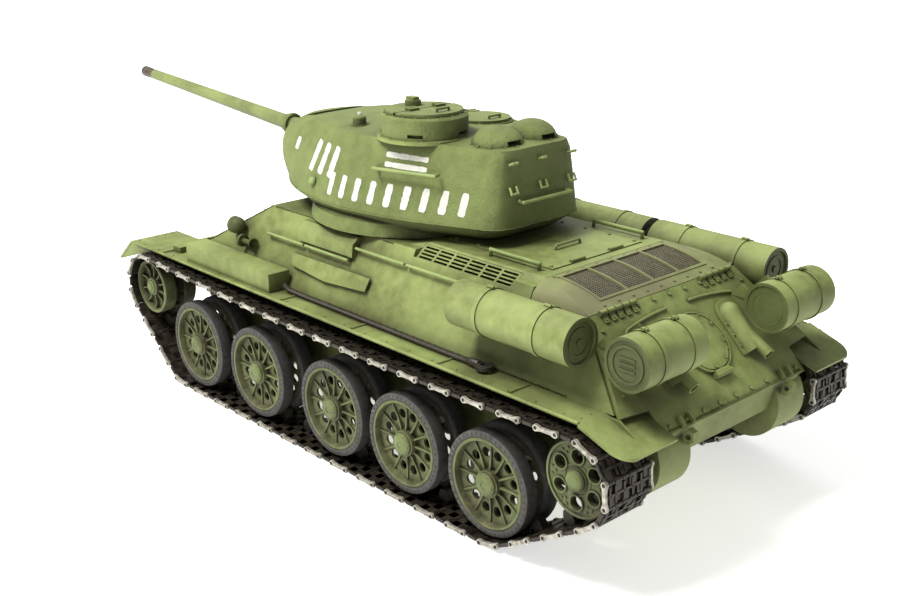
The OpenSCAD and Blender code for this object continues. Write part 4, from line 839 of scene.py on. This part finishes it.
def build_turret():
    """The cast body, open at the gun slot, as a thick shell."""
    rings = turret_skin(turret_rings(4), 3)
    n = len(rings[0])
    bm = bmesh.new()
    grid = [[bm.verts.new(Vector((p.x, p.y + Y_SHIFT, p.z)) * MM) for p in ring] for ring in rings]
    for k in range(len(grid) - 1):
        for i in range(n):
            j = (i + 1) % n
            bm.faces.new((grid[k][i], grid[k][j], grid[k + 1][j], grid[k + 1][i]))
    # roof: rings shrinking to a ridge line, slightly crowned
    prev, steps = grid[-1], 6
    for s in range(1, steps + 1):
        t = s / steps
        row = []
        for p in rings[-1]:
            ridge = Vector((0, max(-70.0, min(52.0, p.y * (1 - 0.15 * t)))))
            q = Vector((p.x, p.y)).lerp(ridge, t)
            z = roof_z(q.y) + 1.5 * (1 - (1 - t) ** 2) * (1 if q.y > -60 else 0.7)
            row.append(bm.verts.new(Vector((q.x, q.y + Y_SHIFT, z)) * MM))
        for i in range(n):
            j = (i + 1) % n
            bm.faces.new((prev[i], prev[j], row[j], row[i]))
        prev = row
    bmesh.ops.remove_doubles(bm, verts=bm.verts, dist=0.00002)
    # cut the slot for the mantlet
    for point, normal in (((-SLOT_X, 0, 0), (1, 0, 0)), ((SLOT_X, 0, 0), (1, 0, 0)),
                          ((0, SLOT_Y + Y_SHIFT, 0), (0, 1, 0)), ((0, 0, SLOT_Z), UP)):
        geom = bm.verts[:] + bm.edges[:] + bm.faces[:]
        bmesh.ops.bisect_plane(bm, geom=geom, plane_co=[q * MM for q in point], plane_no=normal)
    dead = []
    for f in bm.faces:
        c = f.calc_center_median() / MM
        if abs(c.x) < SLOT_X and c.y - Y_SHIFT < SLOT_Y and c.z > SLOT_Z:
            dead.append(f)
    bmesh.ops.delete(bm, geom=dead, context="FACES")
    bmesh.ops.recalc_face_normals(bm, faces=bm.faces)
    mesh = bpy.data.meshes.new("turret_casting")
    bm.to_mesh(mesh)
    bm.free()
    mesh.materials.append(CAST)
    obj = place(mesh, "turret_casting", "turret", smooth=50, replaces=["turret_shell"])
    so = obj.modifiers.new("thickness", "SOLIDIFY")
    so.thickness = 2.6 * MM
    so.offset = -1


# ---------- placing things on sloping surfaces ----------
def on_side(y, z, d=0.0):
    """A point on the left hull side at height z, standing out by d."""
    c, s = math.cos(SIDE_TILT), math.sin(SIDE_TILT)
    return Vector((SILL_X - (z - FENDER_Z) * SIDE_SLOPE + d * c, y, z + d * s))


REAR_ANGLE = math.atan2(REAR_TOP[1] - REAR_LOW[1], REAR_LOW[0] - REAR_TOP[0])


def on_rear(x, down, out=0.0):
    """A point on the rear plate: down the slope from its top edge, standing out."""
    c, s = math.cos(REAR_ANGLE), math.sin(REAR_ANGLE)
    return Vector((x, REAR_TOP[0] + down * c + out * s, REAR_TOP[1] - down * s + out * c))


REAR_N = Vector((0, math.sin(REAR_ANGLE), math.cos(REAR_ANGLE)))


def rear_frame():
    """Turns (x, down, out) on the rear plate into the frame's axes."""
    c, q = math.cos(REAR_ANGLE), math.sin(REAR_ANGLE)
    turn = Matrix(((1, 0, 0, 0), (0, c, q, 0), (0, -q, c, 0), (0, 0, 0, 1)))
    return Matrix.Translation(on_rear(0, 0)) @ turn


def weld(s, pts, r):
    """A hand-laid weld bead along points."""
    s.tube(shaken(resample(pts, 1.1), 0.12, 0.1, 0.12), r, 6, lobes=1, lobe=0.12, turn=2.4)


# ---------- hull details ----------
def build_hull_details():
    s = Shape()
    # bolts along the fenders' outer edge and across their fronts
    for k in range(22):
        s.rivet((83.4, -184 + 16.4 * k, FENDER_Z), UP, 0.75, 0.5)
    for x in (58, 64, 70, 76, 82):
        s.rivet((x, -193.4, FENDER_Z), UP, 0.75, 0.5)
        s.rivet((x, 168.6, FENDER_Z), UP, 0.75, 0.5)
    # stiffening beads across the fender, and its rolled edge
    for y in (-160, -40, 20, 84, 130):
        s.tube([(72, y, FENDER_Z + 0.1), (84.6, y, FENDER_Z + 0.1)], 0.8, 8)
    s.tube([(85.6, -189, FENDER_Z - 0.5), (85.6, 171, FENDER_Z - 0.5)], 0.95, 10)
    # triangular cheeks of the front mudguard, outside and inside
    s.prism_x(84.6, 85.8, [(-196, 76.2), (-213, 62.4), (-185, 70.6), (-172, 74.6)])
    s.prism_x(56.2, 57.2, [(-196, 76.2), (-213, 62.4), (-188, 70.6), (-176, 74.6)])
    # weld beads along the hull's edges
    weld(s, [on_side(-128, FENDER_Z + 0.4, 0.2), on_side(150, FENDER_Z + 0.4, 0.2)], 0.55)
    weld(s, [on_side(-88, DECK_Z - 0.4), on_side(14, DECK_Z - 0.4)], 0.5)
    weld(s, [on_side(-91, 112.6), on_side(-118.6, 96.8), on_side(-152, 77.4)], 0.5)
    s.mirrored()
    s.make("hull_trim", "hull", [PAINT], smooth=40)


def build_rear():
    """Bolts, hinges, hooks and covers on the rear plate."""
    s = Shape()
    for x in [-46 + 11.5 * k for k in range(9)]:
        s.bolt(on_rear(x, 2.6), REAR_N, 1.0, 0.9)
    for x in [-48 + 12 * k for k in range(9)]:
        s.bolt(on_rear(x, 57.6), REAR_N, 1.0, 0.9)
    for side in (-1, 1):
        for k in range(5):
            t = (k + 0.6) / 5.2
            s.bolt(on_rear(side * (50 + 14 * t), 4 + 38 * t), REAR_N, 1.0, 0.9)
        # hinge strips of the upper cover
        for x in (26, 31, 36, 41, 46):
            s.cyl(on_rear(side * x - 2.1, 0.6, 1.0), on_rear(side * x + 2.1, 0.6, 1.0), 1.25, n=14)
            s.box((side * x - 1.5, 0.6, -0.4), (side * x + 1.5, 5.4, 0.8), at=rear_frame())
            s.bolt(on_rear(side * x, 4.0, 0.7), REAR_N, 0.6, 0.5)
        # flange bolts of the exhaust covers
        for dx in (-7, 7):
            for d in (26, 32, 38):
                s.bolt(on_rear(side * 28.6 + dx, d, 0.9), REAR_N, 0.8, 0.8)
        # J-shaped rods beside the hatch
        s.tube([on_rear(side * (8 + 30 * k / 10), 8.6 + 3.2 * (k / 10) ** 2, 0.5) for k in range(11)] +
               [on_rear(side * (38 + 2.2 * math.sin(t)), 14.2 - 2.2 * math.cos(t), 0.5)
                for t in (0.5, 1.0, 1.57)] +
               [on_rear(side * 40.2, 20, 0.5)], 0.8, 10)
        # tow brackets
        for dx in (-3.2, 3.2):
            s.box((side * 37.9 + dx - 0.5, 55.4, -0.3), (side * 37.9 + dx + 0.5, 60.4, 2.4), at=rear_frame())
    for k in range(12):
        t = math.tau * k / 12
        s.bolt(on_rear(14 * math.sin(t), 29.5 + 14 * math.cos(t), 1.1), REAR_N, 0.75, 0.7)
    s.ring(on_rear(0, 29.5, 1.1), REAR_N, 14.9, 15.7, -0.3, 0.45, 56)
    s.cyl(on_rear(-6, 46.2, 1.3), on_rear(6, 46.2, 1.3), 1.5, n=14)
    weld(s, [on_rear(-50, 59.6, 0.1), on_rear(50, 59.6, 0.1)], 0.5)
    s.make("rear_trim", "hull", [PAINT], smooth=40)


def build_caps():
    """Pressed rings and bars on the ends of the drums and the fuel tanks."""
    s = Shape()
    for side in (-1, 1):
        for x in (31.0, 69.4):
            out = 1 if x > 50 else -1
            ax = (side * out, 0, 0)
            s.ring((side * x, DRUM_Y, DRUM_Z), ax, 7.4, 8.6, -0.1, 0.55, 40)
            for z in (DRUM_Z - 2.6, DRUM_Z, DRUM_Z + 2.6):
                s.box((side * x - 0.5, DRUM_Y - 4.2, z - 0.5), (side * x + 0.5, DRUM_Y + 4.2, z + 0.5))
    for side, y in ((1, 158.3), (-1, 158.3), (-1, 80.8)):
        x = side * TANK_X
        s.ring((x, y, TANK_Z), (0, 1, 0), 5.6, 6.6, -0.1, 0.45, 40)
        s.cyl((x, y - 0.1, TANK_Z), (x, y + 0.8, TANK_Z), 1.7, n=6)
    s.make("cap_rings", "hull", [DARK_SHADED], smooth=40)
    b = Shape()
    for side in (-1, 1):
        for x in (side * 39, side * 59):
            b.box((x - 1, DRUM_Y - 1.4, 112.4), (x + 1, DRUM_Y + 1.4, 114))
            b.cyl((x - 1.6, DRUM_Y, 113.7), (x + 1.6, DRUM_Y, 113.7), 0.7, n=10)
        for y in (105, 139.5):
            b.cyl((side * TANK_X, y - 0.6, 116.5), (side * TANK_X, y + 3, 116.5), 0.8, n=10)
    b.make("strap_buckles", "hull", [PAINT], smooth=40)


def build_engine_deck():
    """Bolts and lifting rod of the engine hatch, frame and wire mesh of the transmission cover."""
    s = Shape()
    y0, y1 = 26 + 10.3, 111 - 4.3
    z = COVER_TOP + 0.5
    for x in (-30.5, 30.5):
        for k in range(5):
            s.bolt((x, y0 + 3 + k * (y1 - y0 - 6) / 4, z), UP, 0.9, 0.7)
    for x in (-16, 16):
        s.bolt((x, y0 + 2.4, z), UP, 0.9, 0.7)
    s.tube(rail_pts((-9, y1 - 20, z - 0.1), (9, y1 - 20, z - 0.1), (0, 0, 2.2)), 0.7, 8)
    # frame of the transmission cover's mesh, with its bolts
    yc0, yc1 = COVER_Y0 + 4, COVER_Y1 - 7
    for k in range(5):
        x = -38.2 + 19.1 * k
        arch_strip(s, x - 0.7, x + 0.7, yc0 - 1, yc1 + 1, 0.45, 1.6)
    for y in (yc0 - 0.6, yc1 + 0.6):
        arch_strip(s, -39.4, 39.4, y - 0.8, y + 0.8, 0.45, 1.2)
    for x in range(-40, 41, 10):
        s.bolt((x, 114.0, cover_z(114.0)), UP, 0.75, 0.6)
        s.bolt((x, 144.4, cover_z(144.4)), (0, 0.35, 1), 0.75, 0.6)
    for x in (-47.5, 47.5):
        for y in (117, 127, 137):
            s.bolt((x, y, cover_z(y) - 1.9), (0.5 if x > 0 else -0.5, 0, 1), 0.75, 0.6)
    s.make("deck_trim", "hull", [SMOKED], smooth=40)
    w = Shape()
    for y in [yc0 + 0.2 + 1.25 * k for k in range(int((yc1 - yc0) / 1.25) + 1)]:
        w.box((-38, y - 0.17, cover_z(y) - 0.75), (38, y + 0.17, cover_z(y) - 0.45))
    for x in [-37.6 + 1.3 * k for k in range(59)]:
        arch_strip(w, x - 0.16, x + 0.16, yc0, yc1, -0.35, 0.65)
    w.make("deck_wire_mesh", "hull", [MESH])


def cover_z(y):
    """Height of the transmission cover's arch."""
    return COVER_TOP - (COVER_TOP - REAR_TOP[1]) * ((y - COVER_Y0) / (COVER_Y1 - COVER_Y0)) ** 2


def arch_strip(s, x0, x1, y0, y1, up, down):
    """A strip that follows the arch, from down below it to up above it."""
    ys = [y0 + (y1 - y0) * k / 8 for k in range(9)]
    s.prism_x(x0, x1, [(y, cover_z(y) + up) for y in ys] + [(y, cover_z(y) - down) for y in reversed(ys)])


def build_cable():
    """The tow cable: twisted strands, held along the left fender."""
    route = [(74.8, -50, 80.2), (74.6, -46, 78.6), (74.6, -30, 78.3), (74.6, 0, 78.3), (74.8, 30, 78.3),
             (75, 60, 78.3), (75.2, 84, 78.3), (75.2, 97, 78.6)]
    s = Shape()
    s.tube(resample(route, 0.7), 1.34, 18, 0, lobes=6, lobe=0.15, turn=0.75)
    s.lathe((75.2, 94.6, 78.7), (0, 1, 0), [(0, 0), (1.5, 0), (1.9, 0.8), (2.1, 2.5), (2.1, 6.6),
                                            (1.7, 7.2), (0, 7.2)], 18)
    s.ring((75.2, 105.2, 77.6), UP, 2.2, 4.2, 0, 2.2, 28)
    s.box((73.4, 100.6, 77.9), (77, 102.6, 79.5))
    for x in (72.6, 76.6):
        s.box((x, 100.6, 77.7), (x + 1.2, 106.4, 79.7))
    s.cyl((71.8, 105.2, 78.7), (78.6, 105.2, 78.7), 0.8, n=12)
    s.make("tow_rope", "hull", [ROPE, PAINT], smooth=60, replaces=["tow_cable"])


def build_turret_details():
    """Collar, casting seam, and the bolts and rivets of the roof."""
    s = Shape()
    # collar: a conical skirt with cast joints
    s.lathe((0, TURRET_Y, 0), UP, [(50, 113.7), (58.9, 113.7), (58.7, 116), (57.4, 120.5), (50, 124.5),
                                   (50, 113.7)], 96, 0)
    for k in range(16):
        t = math.tau * (k + 0.5) / 16
        p = Vector((58.2 * math.cos(t), TURRET_Y + 58.2 * math.sin(t), 113.9))
        s.tube([p, p + Vector((-0.35 * math.cos(t), -0.35 * math.sin(t), 2.2)),
                p + Vector((-1.1 * math.cos(t), -1.1 * math.sin(t), 5.6))], 0.55, 6)
    # rough casting seam along the widest edge
    seam = [Vector((p.x, p.y, 125.6)) for p in spline_ring(LEVELS[1][1], 4)]
    seam = resample(seam + seam[:1], 1.6, 1)[:-1]
    s.tube(shaken(seam, 0.1, 0.1, 0.12), 0.45, 6, closed=True)
    s.make("turret_collar", "turret", [CAST], smooth=40)

    d = Shape()
    top = ROOF_Z + CUPOLA_H
    cx, cy = CUPOLA
    for x, y in around(20, cx, cy, 20.9):
        d.bolt((x, y, top - 0.85), UP, 0.65, 0.5)
    for x, y in around(16, cx, cy, CUPOLA_R + 0.9):
        d.rivet((x, y, ROOF_Z + 1.2), UP, 0.7, 0.5)
    d.lathe((cx, cy, ROOF_Z - 0.6), UP, [(CUPOLA_R - 1, 0), (CUPOLA_R + 2.0, 0), (CUPOLA_R + 1.9, 1.6),
                                         (CUPOLA_R + 0.2, 2.0), (CUPOLA_R - 1, 2.0), (CUPOLA_R - 1, 0)], 72)
    d.ring((cx - 2, cy - 11, top + 3.3), UP, 1.6, 3.6, 0, 0.5, 24)
    # periscope on the cupola
    d.box((cx - 4, cy - 14.2, top + 3.4), (cx, cy - 8.4, top + 5.2))
    # bolts on the vent domes' flanges and loader's rim
    for vent_x in (-VENTS[0], VENTS[0]):
        for x, y in around(12, vent_x, VENTS[1], 13.6):
            d.rivet((x, y, ROOF_Z + 0.9), UP, 0.55, 0.4)
    for x, y in around(14, *LOADER, 15.2, 0.5):
        d.rivet((x, y, ROOF_Z + 1.4), UP, 0.6, 0.4)
    d.make("roof_trim", "turret", [PAINT], smooth=40)


def skin_point(tree, y, z, side, out):
    """A point of the casting's outside at this height and length, standing out by out mm."""
    hit, nor, _, _ = tree.ray_cast(Vector((side * 120, y, z)), Vector((-side, 0, 0)))
    return None if hit is None else hit + nor * (out if nor.x * side > 0 else -out)


def brush_stroke(s, tree, side, a, b, width, seed):
    """One hand-painted stroke from a to b, both (y, z), with an uneven edge."""
    rnd = random.Random(seed)
    a, b = Vector(a), Vector(b)
    t = (b - a).normalized()
    across = Vector((-t.y, t.x))
    n = max(4, int((b - a).length / 1.2))
    rows = []
    for k in range(n + 1):
        c = a.lerp(b, k / n)
        w = width * (0.5 + 0.07 * rnd.uniform(-1, 1)) * (0.72 if k in (0, n) else 1)
        row = []
        for q in (-1, -0.34, 0.34, 1):
            p = c + across * w * q
            row.append([skin_point(tree, p.x, p.y, side, h) for h in (0.14, -0.25)])
        rows.append(row)
    if any(p is None for row in rows for pair in row for p in pair):
        return
    v = [p for row in rows for pair in row for p in pair]

    def at(k, q, h):
        return (k * 4 + q) * 2 + h

    f = []
    for k in range(n):
        for q in range(3):
            f.append([at(k, q, 0), at(k, q + 1, 0), at(k + 1, q + 1, 0), at(k + 1, q, 0)])
            f.append([at(k, q, 1), at(k + 1, q, 1), at(k + 1, q + 1, 1), at(k, q + 1, 1)])
        f.append([at(k, 0, 0), at(k + 1, 0, 0), at(k + 1, 0, 1), at(k, 0, 1)])
        f.append([at(k, 3, 0), at(k, 3, 1), at(k + 1, 3, 1), at(k + 1, 3, 0)])
    for k in (0, n):
        for q in range(3):
            f.append([at(k, q, 0), at(k, q, 1), at(k, q + 1, 1), at(k, q + 1, 0)])
    s.add(v, f)


def build_marks():
    """Plain white strokes on the turret's sides; they spell nothing."""
    rings = turret_skin(turret_rings(4), 3)
    n = len(rings[0])
    verts = [p for ring in rings for p in ring]
    faces = [(k * n + i, k * n + (i + 1) % n, (k + 1) * n + (i + 1) % n, (k + 1) * n + i)
             for k in range(len(rings) - 1) for i in range(n)]
    tree = BVHTree.FromPolygons(verts, faces)
    s = Shape()
    for side in (1, -1):
        for k in range(3):
            y = -56 + 10.5 * k
            brush_stroke(s, tree, side, (y - 1.6, 138.5), (y + 1.6, 154.5), 5.0, k)
        for k in range(2):
            brush_stroke(s, tree, side, (3, 156.2 - 4.8 * k), (27, 155.6 - 4.8 * k), 2.6, 5 + k)
        for k in range(9):
            y = -33 + 10.2 * k
            brush_stroke(s, tree, side, (y, 130.4), (y + 0.9, 142.0), 3.8, 10 + k)
        brush_stroke(s, tree, side, (-84, 144.5), (-84, 151), 5.2, 30)
    s.make("white_strokes", "turret", [WHITE], smooth=60)


def build_gun_details():
    """The bolted collar where the barrel leaves the mantlet."""
    a = Vector((0, -math.cos(GUN_ANGLE), math.sin(GUN_ANGLE)))
    o = Vector((0, TRUNNION[0], TRUNNION[1]))
    s = Shape()
    s.lathe(o, a, [(3.4, 44), (6.6, 44), (6.9, 44.8), (6.9, 46.4), (6.2, 47.2), (5.6, 47.4), (5.4, 51),
                   (4.4, 51.6), (3.4, 51.6), (3.4, 44)], 40)
    u, w = basis(a)
    for k in range(8):
        t = math.tau * k / 8
        s.bolt(o + a * 47.0 + (u * math.cos(t) + w * math.sin(t)) * 6.1, a, 0.5, 0.5)
    s.make("gun_collar", "gun", [CAST], smooth=40)


# ---------- materials of the CAD nodes ----------
def drum_ends(c, n):
    """1 on the end discs of the drums (c.y > 165) and of the side tanks."""
    return 1 if abs(n.x if c.y > 165 else n.y) > 0.8 else 0


def deck_mat(c, n):
    """Transmission cover (0), the black painted shade under its mesh (1) and what lies in front of it (2)."""
    if c.y < 112:
        return 2
    return 1 if abs(c.x) < 38.3 and 116 < c.y < 140.6 and c.z < cover_z(c.y) - 0.8 else 0


def hull_fitting_mat(c, n):
    """Dark fittings (0), painted ones low down (1) and the lamp's glass (2)."""
    if 59 < c.x < 69 and -113 < c.y < -111 and c.z > 94 and n.y < -0.5:
        return 2
    return 1 if c.z < 70 else 0


def sprocket_mat(c, n):
    """Painted sprocket (0), its steel axle (1) and the nylon gear on it (2)."""
    if abs(c.x) > 66:
        return 0
    return 2 if math.hypot(c.y - SPROCKET[0], c.z - SPROCKET[1]) > 3.1 else 1


def radial(y, z, r):
    """Picks material 1 outside radius r."""
    return lambda c, n: 1 if math.hypot(c.y - y, c.z - z) > r else 0


def dress_cad():
    for node, mats, bevel, *pick in (
            ("lower_hull", [PAINT], 0.4),
            ("upper_hull", [PAINT], 0.5),
            ("rear_plate", [PAINT], 0.3),
            ("fenders", [PAINT], 0.25),
            ("engine_hatch", [PAINT], 0.3),
            ("side_stowage", [PAINT], 0.4),
            ("battery_door", [PAINT], 0.2),
            ("driver_hatch", [PAINT], 0.4),
            ("exhausts", [PAINT, DARK_SHADED], 0.2),
            ("handrails", [RAIL], 0.0),
            ("deck_grilles", [SMOKED, SHADE_BLACK, PAINT], 0.2, deck_mat),
            ("hull_fittings", [DARK_SHADED, PAINT, GLASS], 0.2, hull_fitting_mat),
            ("fuel_tanks", [PAINT, DARK_SHADED], 0.35, drum_ends),
            ("tow_cable", [ROPE], 0),
            ("battery", [WRAP], 0.8),
            ("control_board", [BOARD, PLASTIC], 0.1, lambda c, n: 1 if c.z > 31.7 or c.z < 29.9 else 0),
            ("speaker", [PLASTIC], 0.3),
            ("gearboxes", [IVORY, STEEL], 0.2, lambda c, n: 1 if abs(c.x) < 29.65 else 0),
            ("traverse_motor", [STEEL], 0.2),
            ("traverse_pinion", [BRASS], 0.06),
            ("elevation_pinion", [BRASS], 0.06),
            ("elevation_motor", [STEEL], 0.2),
            ("turret_ring", [STEEL], 0.1),
            ("turret_shell", [CAST], 0),
            ("cupola", [CAST], 0.35),
            ("cupola_hatch", [CAST], 0.3),
            ("loader_hatch", [CAST], 0.3),
            ("turret_fittings", [RAIL, CAST, WHITE], 0.15, fitting_mat),
            ("mantlet", [CAST], 0.4),
            ("gun_barrel", [GUN, MUZZLE], 0.12, lambda c, n: 1 if c.y < -303 else 0)):
        dress(node, mats, bevel, *pick)
    for side in ("left", "right"):
        dress(f"track_{side}", [TRACK], 0)
        dress(f"sprocket_{side}", [WHEEL_SHADED, STEEL, IVORY], 0.25, sprocket_mat)
        dress(f"idler_{side}", [WHEEL_SHADED], 0.2)
        dress(f"reduction_gear_{side}", [IVORY], 0.08)
        dress(f"motor_pinion_{side}", [BRASS], 0.06)
        for k in range(1, 6):
            dress(f"arm_{side}_{k}", [STEEL], 0.3)
            dress(f"wheel_{side}_{k}", [WHEEL_SHADED, TYRE], 0, radial(WHEEL_Y[k - 1], AXLE_Z, RIM_R - 0.1))


def fitting_mat(c, n):
    """Rails (0), cast fittings on the roof (1) and the white post (2)."""
    if abs(c.x - 28.4) < 3 and abs(c.y + 38.6) < 3 and c.z > ROOF_Z + 1.2:
        return 2
    return 1 if c.z > ROOF_Z - 1 else 0


# ---------- studio ----------
def studio():
    world = bpy.data.worlds.new("studio")
    bpy.context.scene.world = world
    world.use_nodes = True
    bg = world.node_tree.nodes["Background"]
    bg.inputs["Color"].default_value = (1, 1, 1, 1)
    bg.inputs["Strength"].default_value = 0.34
    bpy.context.scene.view_settings.view_transform = "Standard"
    mat, _, bsdf = new_mat("floor_white")
    bsdf.inputs["Base Color"].default_value = (0.93, 0.93, 0.92, 1)
    bsdf.inputs["Roughness"].default_value = 0.9
    bsdf.inputs["Emission Color"].default_value = (1, 1, 0.98, 1)
    bsdf.inputs["Emission Strength"].default_value = 0.62
    mesh = bpy.data.meshes.new("floor")
    mesh.from_pydata([(-6, -6, 0), (6, -6, 0), (6, 6, 0), (-6, 6, 0)], [], [(0, 1, 2, 3)])
    mesh.materials.append(mat)
    floor = bpy.data.objects.new("floor", mesh)
    bpy.context.scene.collection.objects.link(floor)

    def area(name, at, to, size, watts, colour=(1, 1, 1)):
        lamp = bpy.data.lights.new(name, "AREA")
        lamp.energy, lamp.size, lamp.color = watts, size, colour
        obj = bpy.data.objects.new(name, lamp)
        obj.location = at
        obj.rotation_mode = "QUATERNION"
        obj.rotation_quaternion = (Vector(to) - Vector(at)).to_track_quat("-Z", "Y")
        bpy.context.scene.collection.objects.link(obj)

    area("key", (0.75, -0.25, 1.55), (0, 0, 0.05), 0.6, 40, (1, 0.98, 0.93))
    area("fill", (1.5, 0.9, 0.5), (0, 0, 0.05), 1.4, 1.2)
    area("rim", (-1.0, -0.9, 1.2), (0, 0, 0.05), 1.0, 7)


def camera():
    """The photograph's viewpoint, from the fitted camera."""
    az, el, roll = math.radians(137.1926), math.radians(19.0940), math.radians(-0.35216)
    data = bpy.data.cameras.new("camera")
    data.lens, data.sensor_width, data.sensor_fit = 48.89, 36.0, "HORIZONTAL"
    data.clip_start, data.clip_end = 0.01, 50
    cam = bpy.data.objects.new("camera", data)
    back = Vector((math.sin(az) * math.cos(el), -math.cos(az) * math.cos(el), math.sin(el)))
    right = Vector((math.cos(az), math.sin(az), 0))
    up = back.cross(right)
    c, s = math.cos(roll), math.sin(roll)
    r2, u2 = right * c + up * s, up * c - right * s
    cam.matrix_world = (Matrix.Translation(Vector((435.600, 471.301 + Y_SHIFT, 289.553)) * MM)
                        @ Matrix((r2, u2, back)).transposed().to_4x4())
    bpy.context.scene.collection.objects.link(cam)
    bpy.context.scene.camera = cam


dress_cad()
build_tracks()
for side_name in ("left", "right"):
    for number, wheel_y in enumerate(WHEEL_Y, 1):
        build_wheel(f"road_wheel_{side_name}_{number}", f"wheel_{side_name}_{number}", wheel_y, side_name,
                    f"wheel_{side_name}_{number}")
    build_idler(side_name)
    build_sprocket(side_name)
build_turret()
build_hull_details()
build_rear()
build_caps()
build_engine_deck()
build_cable()
build_turret_details()
build_marks()
build_gun_details()
studio()
camera()
